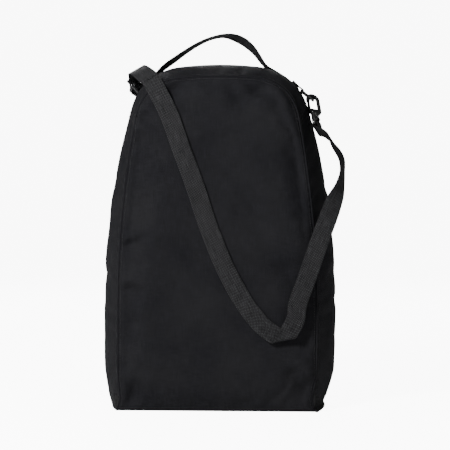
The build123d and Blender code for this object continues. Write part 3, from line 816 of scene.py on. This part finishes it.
tapeGusset = {"insets": [0.2, 3, 6, 9, 11.5, 13.0], "foot": boxOf("zip_tape_gusset")[0][2]}
tapeFlap = {"foot": boxOf("zip_tape_flap")[0][2]}
tapeY = boxOf("zip_tape_gusset")[0][1]
gussetTape = stripMesh("zipTapeGusset", tapeGusset["insets"], tapeY + 0.75, tapeGusset["foot"])
solidify(gussetTape, 0.75)
finishPiece(gussetTape, tapeCloth, "bag", ["zip_tape_gusset"])
coilOuter, coilWidth, coilGap = 13.0, 2.2, 1.9
flapTapeStart = coilOuter + 2 * coilWidth + coilGap
flapTape = stripMesh("zipTapeFlap", [flapTapeStart, flapTapeStart + 3, flapTapeStart + 7, flapTapeStart + 12.5],
                     tapeY + 0.75, tapeFlap["foot"])
solidify(flapTape, 0.75)
finishPiece(flapTape, tapeCloth, "front_flap", ["zip_tape_flap"])


def coilTeeth(name, inset, reach, lowZ, pitch, body, nodeName):
    # Row of bent nylon loops along one edge of a tape
    ring = outline(seamShape, inset)
    keep = ring[arcCounts["foot"] + 1:ringCount - arcCounts["foot"]]
    keep = keep[keep[:, 1] > lowZ]
    marks = resample(keep, pitch)
    low, high = boxOf(nodeName)
    centreY = (low[1] + high[1]) / 2
    points, faces = [], []
    sides = 5
    for a, b in zip(marks, marks[1:]):
        middle, way = (a + b) / 2, unit(b - a)
        inward = np.array([-way[1], way[0]])
        start = len(points)
        stations = [(-0.9, 0.62), (0.0, 1.0), (0.8, 0.86), (1.05, 0.0), (0.8, -0.86), (0.0, -1.0), (-0.9, -0.62)]
        for s, h in stations:
            centre = np.array([middle[0] + inward[0] * s * reach / 2, centreY + h * 0.85,
                               middle[1] + inward[1] * s * reach / 2])
            for k in range(sides):
                angle = 2 * math.pi * k / sides
                along = np.array([way[0], 0, way[1]]) * math.cos(angle) * 0.36
                out = (np.array([0, 1, 0]) * (1 if abs(h) > 0.5 else 0.2)
                       + np.array([inward[0], 0, inward[1]]) * (0.2 if abs(h) > 0.5 else 1)) * math.sin(angle) * 0.34
                points.append(centre + along + out)
        for r in range(len(stations) - 1):
            for k in range(sides):
                q = (k + 1) % sides
                faces.append((start + r * sides + k, start + r * sides + q,
                              start + (r + 1) * sides + q, start + (r + 1) * sides + k))
    made = makeObject(name, points, faces)
    return finishPiece(made, coilPlastic, body, [nodeName])


coilTeeth("zipCoilGusset", coilOuter + coilWidth / 2, coilWidth, boxOf("zip_coil_gusset")[0][2], 1.5, "bag",
          "zip_coil_gusset")
coilTeeth("zipCoilFlap", coilOuter + coilWidth * 1.5 + coilGap, -coilWidth, boxOf("zip_coil_flap")[0][2], 1.5,
          "front_flap", "zip_coil_flap")

# Front flap: crowned cloth panel that folds down at its foot
flapLow, flapHigh = boxOf("front_flap")
flapInset = seamShape["half"] - flapHigh[0]
flapRing = outline(seamShape, flapInset)
flapRing = flapRing[(flapRing[:, 1] > flapLow[2] + 4)]
footLine = np.linspace(-flapHigh[0], flapHigh[0], 42)
rightSide = flapRing[flapRing[:, 0] >= -1e-6]
leftSide = rightSide[:-1][::-1] * np.array([-1, 1])
foot = np.stack([footLine, np.full(42, flapLow[2])], axis=1)
flapOutline = np.concatenate([foot, rightSide, leftSide])
flapFlat, flapFaces = fillPanel(flapOutline, 5.6)
flapDistance = distanceTo(flapFlat, flapOutline)
flapY = (halfDepth + panelStep + crownAt(flapDistance, flapHigh[1] - halfDepth - panelStep - 1.2, 55.0)
         + undulation(flapFlat[:, 0], flapFlat[:, 1], 23, 110.0) * 1.1 * np.clip(flapDistance / 20, 0, 1))
flapPoints = np.stack([flapFlat[:, 0], flapY, flapFlat[:, 1]], axis=1)
flapTurned = facing(flapFaces, flapFlat, -1)
flapHold = np.zeros(len(flapPoints))
flapHold[:len(flapOutline)] = 1.0
flapPoints = simulate(flapPoints, flapTurned, flapHold, growth=0.02, pressure=3.0, cap=3.5)
flap = makeObject("frontFlap", flapPoints, flapTurned, flapFlat)
subdivide(flap)
solidify(flap, 1.6, -1.0, 1)
finishPiece(flap, [shellCloth, liningCloth], "front_flap", ["front_flap"])

# Sill below the flap
sillLow, sillHigh = boxOf("front_sill")
sillPath = halfOutline(seamShape, 0.6)
sillCut = boxOf("zip_tape_gusset")[0][2] - 0.3
sillRight = sillPath[(sillPath[:, 1] <= sillCut)]
sillRight = np.concatenate([sillRight, [[np.interp(sillCut, sillPath[:70, 1], sillPath[:70, 0]), sillCut]]])
stepX = flapHigh[0]
stepLine = line(sillRight[-1], (stepX, sillCut), 6)
riseLine = line((stepX, sillCut), (stepX, sillHigh[2]), 6)
topLine = line((stepX, sillHigh[2]), (0.0, sillHigh[2]), 22)
sillHalf = np.concatenate([sillRight, stepLine, riseLine, topLine])
sillRing = np.concatenate([sillHalf, sillHalf[1:-1][::-1] * np.array([-1, 1])])
sillFlat, sillFaces = fillPanel(sillRing, 5.0)
sillDistance = distanceTo(sillFlat, sillRing)
sillY = sillHigh[1] - 0.5 + 0.9 * np.clip(sillDistance / 8, 0, 1) + undulation(
    sillFlat[:, 0], sillFlat[:, 1], 41, 60.0) * 0.5 * np.clip(sillDistance / 8, 0, 1)
sillTurned = facing(sillFaces, sillFlat, -1)
sillPoints = pressed(np.stack([sillFlat[:, 0], sillY, sillFlat[:, 1]], axis=1))
sill = makeObject("frontSill", sillPoints, sillTurned, sillFlat)
subdivide(sill)
solidify(sill, 1.5, -1.0, 1)
finishPiece(sill, [shellCloth, liningCloth], "bag", ["front_sill"])

for label, inset, body, foot in (("gussetTapeStitches", 3.4, "bag", tapeGusset["foot"]),
                                 ("flapTapeStitches", flapInset + 3.2, "front_flap", tapeFlap["foot"])):
    ring = outline(seamShape, inset)
    keep = ring[arcCounts["foot"] + 1:ringCount - arcCounts["foot"]]
    keep = keep[keep[:, 1] > foot + 1]
    height = tapeY + 0.8 if body == "bag" else halfDepth + panelStep + crownAt(np.array([3.2]), 7.0, 55.0)[0] + 0.2
    pathLine = np.stack([keep[:, 0], np.full(len(keep), height), keep[:, 1]], axis=1)
    stitchRow(label, pathLine, body, lift=0.0, normal=(0, 1, 0))
print("zip and flap made")

# Seam bindings inside, folded over the raw edges
for label, nodeName in (("backBinding", "seam_binding_back"), ("frontBinding", "seam_binding_front")):
    low, high = boxOf(nodeName)
    insets = [2.8, 3.0, 6.5, 10.2, 10.4]
    middleY = (low[1] + high[1]) / 2
    rings = [outline(seamShape, i) for i in insets]
    lifts = [-0.35, 0.35, 0.55, 0.35, -0.35]
    points = np.concatenate([np.stack([r[:, 0], np.full(ringCount, middleY + h), r[:, 1]], axis=1)
                             for r, h in zip(rings, lifts)])
    uvs = np.concatenate([np.stack([ringLength, np.full(ringCount, i)], axis=1) for i in insets])
    binding = makeObject(label, points, gridFaces(len(insets), ringCount, closed=True), uvs)
    solidify(binding, 0.5, 0.0)
    finishPiece(binding, bindingCloth, "bag", [nodeName])


webbing = {"width": 25.0, "thickness": 1.4}
sectionAcross = np.array([-1, -0.975, -0.9, -0.66, -0.33, 0, 0.33, 0.66, 0.9, 0.975])
sectionHeight = np.array([0, 0.72, 1.0, 0.92, 0.88, 0.86, 0.88, 0.92, 1.0, 0.72])
sectionV = np.concatenate([sectionAcross, -sectionAcross])
sectionH = np.concatenate([sectionHeight, -sectionHeight])


def hermite(values, times, at):
    values = np.array(values, dtype=float)
    slopes = np.gradient(values, times, axis=0)
    k = np.clip(np.searchsorted(times, at, side="right") - 1, 0, len(times) - 2)
    h = (times[k + 1] - times[k])[:, None]
    t = ((at - times[k])[:, None]) / h
    return ((2 * t ** 3 - 3 * t ** 2 + 1) * values[k] + (t ** 3 - 2 * t ** 2 + t) * h * slopes[k]
            + (-2 * t ** 3 + 3 * t ** 2) * values[k + 1] + (t ** 3 - t ** 2) * h * slopes[k + 1])


def smoothStations(points, acrosses, step=2.5):
    points = np.array(points, dtype=float)
    acrosses = np.array([unit(a) for a in acrosses])
    times = lengthsAlong(points)
    at = np.linspace(0, times[-1], int(times[-1] / step) + 2)
    side = hermite(acrosses, times, at)
    return hermite(points, times, at), side / np.linalg.norm(side, axis=1)[:, None]


def webSheet(centres, sides, start=0.0, waves=0.0, seed=3):
    # Middle surface of flat webbing along a line: points, normals and cloth coordinates, row by row
    width = webbing["width"]
    way = np.gradient(centres, axis=0)
    way /= np.linalg.norm(way, axis=1)[:, None]
    lean = (way * sides).sum(axis=1)
    normal = np.cross(way, sides)
    normal /= np.linalg.norm(normal, axis=1)[:, None]
    span = width / 2 / np.sqrt(np.maximum(1 - lean ** 2, 0.35))
    length = start + lengthsAlong(centres)
    ripple = waves * undulation(length, np.zeros(len(length)), seed, 55.0)
    cup = waves * 0.5 * undulation(length, np.ones(len(length)), seed + 7, 80.0)
    count = len(sectionV)
    offset = sectionV[None, :] * span[:, None]
    lift = ripple[:, None] + cup[:, None] * (sectionV[None, :] ** 2 - 0.4)
    normals = np.repeat(normal[:, None, :], count, axis=1)
    points = centres[:, None, :] + sides[:, None, :] * offset[..., None] + normals * lift[..., None]
    uvs = np.stack([offset * np.sqrt(1 - lean[:, None] ** 2) + width / 2, length[:, None] + offset * lean[:, None]],
                   axis=-1)
    return points, normals, uvs


def joinSheets(*sheets):
    return [np.concatenate(part) for part in zip(*sheets)]


def webMesh(name, sheet):
    # Webbing with thicker selvedges and cut ends on a middle surface
    points, normals, uvs = sheet
    rows, count = points.shape[:2]
    points = points + normals * (sectionH[None, :, None] * webbing["thickness"] / 2)
    uvs = uvs + np.stack([(sectionH < 0) * 40.0, sectionH * 0], axis=1)[None]
    faces = gridFaces(rows, count, closed=True)
    faces.append(list(reversed(range(count))))
    faces.append([(rows - 1) * count + k for k in range(count)])
    return makeObject(name, points.reshape(-1, 3), faces, uvs.reshape(-1, 2))


def ribbon(name, centres, sides, start=0.0, waves=0.0, seed=3):
    return webMesh(name, webSheet(centres, sides, start, waves, seed))


def foldSheet(entry, way, crease, start):
    # Webbing that wraps once round a small cylinder along the crease, and comes back over itself
    radius, before, after = fold["radius"], fold["before"], fold["after"]
    crease, way = unit(crease), unit(way)
    out = np.array([0.0, -1.0, 0.0])
    down = np.cross(crease, out)
    down = down if np.dot(down, way) > 0 else -down
    across = np.cross(out, way)
    across = across if across[0] > 0 else -across
    turnLength = math.pi * radius / np.dot(way, down)
    marks = np.concatenate([np.linspace(-before, 0, 8)[:-1], np.linspace(0, turnLength, 18)[:-1],
                            np.linspace(turnLength, turnLength + after, 9)])
    outer = np.sign(sectionV) * np.sign(np.dot(across, down)) > 0
    drawn = 1 - 0.16 * np.exp(-((marks - turnLength * 0.8) / 8.0) ** 2)[:, None] * outer[None, :]
    flat = marks[:, None, None] * way + (drawn * sectionV * webbing["width"] / 2)[..., None] * across
    a, q = flat @ crease, flat @ down
    bend = np.clip(q / radius, 0, math.pi)
    drop = np.where(q < 0, q, np.where(q < math.pi * radius, radius * np.sin(bend), math.pi * radius - q))
    points = (entry + a[..., None] * crease + drop[..., None] * down
              + (radius * (1 - np.cos(bend)))[..., None] * out)
    side = np.sign(np.dot(np.cross(way, across), out))
    normals = side * (np.cos(bend)[..., None] * out + np.sin(bend)[..., None] * -down)
    uvs = np.stack([np.tile(sectionV * webbing["width"] / 2 + webbing["width"] / 2, (len(marks), 1)),
                    np.repeat((start + before + marks)[:, None], len(sectionV), axis=1)], axis=-1)
    end = marks[-1] * way
    last = entry + np.dot(end, crease) * crease + (math.pi * radius - np.dot(end, down)) * down + 2 * radius * out
    return (points, normals, uvs), last


# Long run of the shoulder strap: share of its box, then the way across its width
strapStations = [
    (0.039, 0.418, 0.981, 0.84, 0.04, 0.54), (0.077, 0.264, 0.935, 0.88, 0.0, 0.47),
    (0.128, 0.174, 0.86, 0.91, 0.0, 0.41), (0.187, 0.174, 0.738, 0.935, 0.0, 0.355),
    (0.254, 0.174, 0.602, 0.94, 0.0, 0.345), (0.342, 0.174, 0.406, 0.93, 0.0, 0.37),
    (0.444, 0.174, 0.232, 0.885, 0.0, 0.465), (0.532, 0.174, 0.124, 0.8, 0.0, 0.6),
]
returnStations = [
    (0.767, 0.044, 0.149, 0.93, 0.0, -0.36), (0.812, 0.094, 0.247, 0.94, 0.0, -0.34),
    (0.881, 0.204, 0.398, 0.93, 0.0, -0.37), (0.945, 0.374, 0.527, 0.84, 0.34, -0.42),
    (0.977, 0.533, 0.594, 0.45, 0.87, -0.2), (0.985, 0.653, 0.639, 0.28, 0.95, -0.03),
    (0.982, 0.703, 0.687, 0.34, 0.93, 0.02), (0.952, 0.743, 0.73, 0.46, 0.85, -0.2),
    (0.93, 0.815, 0.763, 0.379, 0.735, -0.562),
]
shoulderStations = [
    (0.186, 0.994, 0.278, 0.609, -0.045, 0.792), (0.192, 0.812, 0.589, 0.74, -0.04, 0.67),
    (0.251, 0.589, 0.764, 0.84, 0.0, 0.54), (0.301, 0.406, 0.818, 0.87, 0.0, 0.49),
    (0.42, 0.24, 0.764, 0.88, 0.0, 0.47), (0.588, 0.104, 0.603, 0.86, 0.02, 0.5),
    (0.787, 0.008, 0.387, 0.84, 0.04, 0.54),
]
shoulderPoints = [inBox("strap_shoulder_run", s[:3]) for s in shoulderStations]
fold = {"entry": (0.677, 0.174, 0.0205), "way": -37.0, "crease": 12.0, "radius": 3.2,
        "before": 15.0, "after": 15.0}
foldWay = unit((math.cos(math.radians(fold["way"])), 0, math.sin(math.radians(fold["way"]))))
creaseWay = unit((math.cos(math.radians(fold["crease"])), 0, math.sin(math.radians(fold["crease"]))))
backWay = 2 * np.dot(foldWay, creaseWay) * creaseWay - foldWay
foldEntry = inBox("shoulder_strap", fold["entry"])
downPoints = [inBox("shoulder_strap", s[:3]) for s in strapStations]
downPoints += [foldEntry - foldWay * (fold["before"] + 9), foldEntry - foldWay * fold["before"]]
foldAcross = np.array([-foldWay[2], 0, foldWay[0]])
downSides = [s[3:] for s in strapStations] + [foldAcross, foldAcross]
topSides = [s[3:] for s in shoulderStations[:-1]] + downSides
topLine, topAcross = smoothStations(shoulderPoints[:-1] + downPoints, topSides)
topCut = int(np.argmin(np.linalg.norm(topLine - (shoulderPoints[-1] + downPoints[0]) / 2, axis=1)))
shoulderLine, shoulderAcross = topLine[:topCut + 1], topAcross[:topCut + 1]
downLine, downAcross = topLine[topCut:], topAcross[topCut:]
downLength = float(lengthsAlong(downLine)[-1])
foldRows, foldEnd = foldSheet(foldEntry, foldWay, creaseWay, downLength)
backAcross = np.array([backWay[2], 0, -backWay[0]])
upPoints = [foldEnd, foldEnd + backWay * 9] + [inBox("shoulder_strap", s[:3]) for s in returnStations]
upSides = [backAcross, backAcross] + [s[3:] for s in returnStations]
upLine, upAcross = smoothStations(upPoints, upSides)
wrapLength = math.pi * fold["radius"] / abs(np.dot(foldWay, np.cross(creaseWay, (0, 1, 0))))
foldLength = fold["before"] + fold["after"] + wrapLength
upLength = float(lengthsAlong(upLine)[-1])
strapLength = downLength + foldLength + upLength
downRows = webSheet(downLine, downAcross, 0.0, 0.35)
upRows = webSheet(upLine, upAcross, downLength + foldLength, 0.35, 5)
strap = webMesh("shoulderStrap", joinSheets([p[:-1] for p in downRows], foldRows, [p[1:] for p in upRows]))
finishPiece(strap, webbingCloth, "shoulder_strap", ["shoulder_strap"])

shoulder = ribbon("strapShoulderRun", shoulderLine, shoulderAcross, start=strapLength, waves=0.3)
finishPiece(shoulder, webbingCloth, "bag", ["strap_shoulder_run"])

# Carry handle
handleLow, handleHigh = boxOf("top_handle")
bagTop = topHigh[2]
shoulderCentre, shoulderRadius = crestShape["shoulder"]


def onShoulder(angle, offset, side):
    a = math.radians(angle)
    reach = shoulderRadius + offset
    return np.array([side * (shoulderCentre[0] + reach * math.cos(a)), 0.0, shoulderCentre[1] + reach * math.sin(a)])


lift = 0.3 + webbing["thickness"] / 2
handlePath = [onShoulder(a, lift, -1) for a in (38, 43, 48)]
handlePath += [np.array([x, 0.0, bagTop + z]) for x, z in (
    (-88, -10.5), (-77, -0.5), (handleLow[0], 9), (-48, 20), (-30, 31), (-11, 39), (6, 42), (20, 39.5), (34, 33),
    (47, 22), (handleHigh[0], 9), (64, -0.5))]
handlePath += [onShoulder(a, lift, 1) for a in (66, 56, 46, 38)]
tilts = [0, 0, 0, -6, -13, -13, -9, -6, -4, -8, -20, -27, -27, -22, -12, -4, 0, 0, 0]
handleSides = [(0.0, math.cos(math.radians(t)), math.sin(math.radians(t))) for t in tilts]
handleLine, handleAcross = smoothStations(handlePath, handleSides)
cutLeft, cutRight = np.searchsorted(handleLine[:, 0], [handleLow[0], handleHigh[0]])
middleIndex = (cutLeft + cutRight) // 2
handleParts = {
    "handleLeft": (0, middleIndex + 1, handleLow[0] - 3, handleLow[0] + 16, ["handle_end_left", "top_handle"]),
    "handleRight": (middleIndex, len(handleLine), handleHigh[0] + 3, handleHigh[0] - 16, ["handle_end_right"]),
}
handleLengths = lengthsAlong(handleLine)
print("handle length", round(float(handleLengths[-1]), 1))
for label, (first, last, startX, endX, nodes) in handleParts.items():
    part = ribbon(label, handleLine[first:last], handleAcross[first:last], start=handleLengths[first])
    finishPiece(part, webbingCloth, None, nodes)
    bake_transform(part)


def foldedLoop(bar, axis, away, up, name, body, nodes):
    # Webbing that passes round a bar and comes back on itself, sewn through both layers
    radius, tail, layerGap = loopSettings["radius"], loopSettings["tail"], loopSettings["layerGap"]
    axis, away = unit(axis), unit(away)
    up = unit(np.array(up) - np.dot(up, axis) * axis - np.dot(up, away) * away)
    half = layerGap / 2
    closeBy = radius + 3.5
    path = [bar + away * tail + up * half]
    path += [bar + away * d + up * half for d in np.linspace(tail - 2, closeBy + 1, 6)]
    for angle in np.linspace(55, 305, 22):
        a = math.radians(angle)
        path.append(bar + radius * (math.cos(a) * away + math.sin(a) * up))
    path += [bar + away * d - up * half for d in np.linspace(closeBy + 1, tail - 2, 6)]
    path.append(bar + away * tail - up * half)
    centres = resample(np.array(path), 1.6)
    made = ribbon(name, centres, np.tile(axis, (len(centres), 1)))
    return finishPiece(made, webbingCloth, body, nodes)


def boxStitch(name, corner, along, across, normal, length, width, body):
    # Rectangle and cross of stitches through sewn layers
    a, b = unit(along) * length, unit(across) * width
    corners = [corner - b / 2, corner - b / 2 + a, corner + b / 2 + a, corner + b / 2, corner - b / 2]
    runs = [corners, [corners[0], corners[2]], [corners[1], corners[3]]]
    for count, run in enumerate(runs):
        stitchRow(name + str(count), np.array(run), body, boxStitches, 0.12, normal)


wire = 3.5
loopOffset = wire / 2 + 0.4 + webbing["thickness"] / 2
for hand, side in (("left", -1), ("right", 1)):
    bar = jointPoint("ring_swing_" + hand)
    tangent = unit(onShoulder(50, 3, side) - onShoulder(40, 3, side))
    out = unit(onShoulder(40, 9, side) - onShoulder(40, 3, side))
    startWay = math.atan2(out[2], out[0])
    loop = []
    for t in np.linspace(0, 1, 15):
        turn = startWay - side * (-0.25 + t * (math.pi + 0.5)) * 1.0
        loop.append(bar + loopOffset * np.array([math.cos(turn), 0, math.sin(turn)]))
    path = [onShoulder(a, lift + 3.0, side) for a in (46.5, 43, 39.5)] + loop
    path += [onShoulder(a, lift + 1.55, side) for a in (39.5, 43, 46.5)]
    centres = resample(np.array(path), 1.5)
    tab = ribbon("ringTab" + hand.capitalize(), centres, np.tile([0.0, 1.0, 0.0], (len(centres), 1)))
    finishPiece(tab, webbingCloth, "bag", ["ring_tab_" + hand])
    corner = onShoulder(38.8, lift + 3.8, side)
    boxStitch("tabStitches" + hand.capitalize(), corner, tangent, (0, 1, 0), out, 8.5, 18, "bag")


def roundedCopy(nodeName, name, voxel, passes, material, body):
    # The CAD piece with softened edges, as cast or bent metal has
    source = frame["nodes"][nodeName]
    mesh = source.data.copy()
    mesh.transform(source.matrix_world)
    made = bpy.data.objects.new(name, mesh)
    bpy.context.scene.collection.objects.link(made)
    remesh = made.modifiers.new("remesh", "REMESH")
    remesh.mode = "VOXEL"
    remesh.voxel_size = voxel * mm
    remesh.use_smooth_shade = True
    smoothing = made.modifiers.new("smoothing", "SMOOTH")
    smoothing.factor = 0.5
    smoothing.iterations = passes
    seen = made.evaluated_get(bpy.context.evaluated_depsgraph_get())
    result = bpy.data.meshes.new_from_object(seen)
    made.modifiers.clear()
    made.data = result
    result.name = name
    return finishPiece(made, material, body, [nodeName])


# Node, piece, voxel size, smoothing passes and body of the metal at each shoulder
shoulderMetal = [("d_ring_", "dRing", 0.4, 3, "ring_"), ("snap_hook_", "snapHook", 0.36, 5, "hook_"),
                 ("hook_gate_", "hookGate", 0.3, 3, "gate_"), ("swivel_frame_", "swivelFrame", 0.4, 4, "ring_")]
for hand in ("left", "right"):
    for nodeName, label, voxel, passes, body in shoulderMetal:
        label += hand.capitalize()
        roundedCopy(nodeName + hand, label, voxel, passes, blackMetal, body + hand)
roundedCopy("zip_slider", "zipSlider", 0.25, 2, zipMetal, "zip_slider")
roundedCopy("zip_pull", "zipPull", 0.22, 1, zipMetal, "zip_pull")
roundedCopy("zip_end_stops", "zipEndStops", 0.25, 2, zipMetal, "bag")
roundedCopy("base_board", "baseBoard", 1.2, 1, boardPlastic, "bag")
print("hardware made")

# Sewn loops that join the strap to the swivel frames
loopSettings = {"reach": 54.0, "tail": 26.0, "radius": 3.57, "layerGap": 1.5}
loopWays = {
    "right": {"bar": (0.379, 0.735, -0.562), "leave": (0.595, -0.659, -0.461)},
    "left": {"bar": (0.609, -0.045, 0.792), "leave": (-0.582, -0.704, 0.408)},
}
for hand, one in loopWays.items():
    seat = jointPoint("hook_swivel_" + hand)
    down = unit(joints["hook_swivel_" + hand]["axis"])
    barMiddle = seat + down * loopSettings["reach"]
    up = np.cross(unit(one["bar"]), unit(one["leave"]))
    foldedLoop(barMiddle, one["bar"], one["leave"], up, "strapLoop" + hand.capitalize(), "ring_" + hand,
               ["strap_loop_" + hand])
    for sign, suffix in ((1, "Front"), (-1, "Back")):
        boxStitch("loopStitches" + hand.capitalize() + suffix,
                  barMiddle + unit(one["leave"]) * 9.5 + sign * unit(up) * 1.5, one["leave"], one["bar"],
                  sign * unit(up), 13.0, 18.0, "ring_" + hand)

# Pale floor that curves up into a wall far behind
floorSettings = {"half": 9.0, "front": -8.0, "wall": 6.0, "bend": 1.2, "top": 7.0, "drop": 0.0005,
                 "glow": 9.0}
wallY, bendRadius, drop = floorSettings["wall"], floorSettings["bend"], floorSettings["drop"]
floorMesh = bpy.data.meshes.new("floor")
floorPoints, floorFaces = [], []
profileLine = [(floorSettings["front"], -drop), (wallY, -drop)]
profileLine += [(wallY + bendRadius * math.sin(a), bendRadius - bendRadius * math.cos(a) - drop)
                for a in np.linspace(0.1, math.pi / 2, 14)]
profileLine += [(wallY + bendRadius, floorSettings["top"])]
for y, z in profileLine:
    floorPoints += [(-floorSettings["half"], y, z), (floorSettings["half"], y, z)]
for r in range(len(profileLine) - 1):
    floorFaces.append((2 * r, 2 * r + 1, 2 * r + 3, 2 * r + 2))
floorMesh.from_pydata(floorPoints, [], floorFaces)
floorMesh.polygons.foreach_set("use_smooth", [True] * len(floorFaces))
floor = bpy.data.objects.new("floor", floorMesh)
bpy.context.scene.collection.objects.link(floor)
floorMaterial = bpy.data.materials.new("floor")
floorMaterial.use_nodes = True
floorShader = floorMaterial.node_tree.nodes["Principled BSDF"]
floorShader.inputs["Base Color"].default_value = (0.92, 0.92, 0.92, 1)
floorShader.inputs["Roughness"].default_value = 0.9
# The floor glows to the camera alone, so that it stays pale while the black bag keeps its shading
lightPath = floorMaterial.node_tree.nodes.new("ShaderNodeLightPath")
glow = calc(floorMaterial.node_tree, "MULTIPLY", lightPath.outputs["Is Camera Ray"], floorSettings["glow"])
floorShader.inputs["Emission Color"].default_value = (1, 1, 1, 1)
floorMaterial.node_tree.links.new(glow, floorShader.inputs["Emission Strength"])
floorMesh.materials.append(floorMaterial)

world = bpy.data.worlds.new("studio")
world.use_nodes = True
world.node_tree.nodes["Background"].inputs[0].default_value = (1, 1, 1, 1)
worldPath = world.node_tree.nodes.new("ShaderNodeLightPath")
seenByCamera = worldPath.outputs["Is Camera Ray"]
seenSky = calc(world.node_tree, "MULTIPLY_ADD", seenByCamera, floorSettings["glow"], 0.12)
world.node_tree.links.new(seenSky, world.node_tree.nodes["Background"].inputs[1])
bpy.context.scene.world = world

target = Vector((0.007, 0.0, 0.2492))


def softLight(name, place, size, power):
    lamp = bpy.data.lights.new(name, "AREA")
    lamp.shape = "RECTANGLE"
    lamp.size, lamp.size_y = size
    lamp.energy = power
    made = bpy.data.objects.new(name, lamp)
    made.location = place
    made.rotation_euler = (target - Vector(place)).to_track_quat("-Z", "Y").to_euler()
    bpy.context.scene.collection.objects.link(made)


softLight("keyLight", (-0.8, -1.35, 1.2), (0.35, 0.3), 62)
softLight("fillLight", (1.3, -1.9, 0.5), (0.9, 0.9), 6)
softLight("topLight", (0.1, -0.1, 2.1), (1.0, 0.7), 3)
softLight("backLight", (-0.3, 2.0, 1.35), (0.8, 0.6), 30)

cameraData = bpy.data.cameras.new("camera")
cameraData.lens = 126.6
cameraData.sensor_width = 36.0
camera = bpy.data.objects.new("camera", cameraData)
turn, rise, away = math.radians(3.0), math.radians(2.0), 2.2
back = Vector((math.sin(turn) * math.cos(rise), -math.cos(turn) * math.cos(rise), math.sin(rise)))
camera.location = target + back * away
camera.rotation_euler = (-back).to_track_quat("-Z", "Y").to_euler()
bpy.context.scene.collection.objects.link(camera)
bpy.context.scene.camera = camera
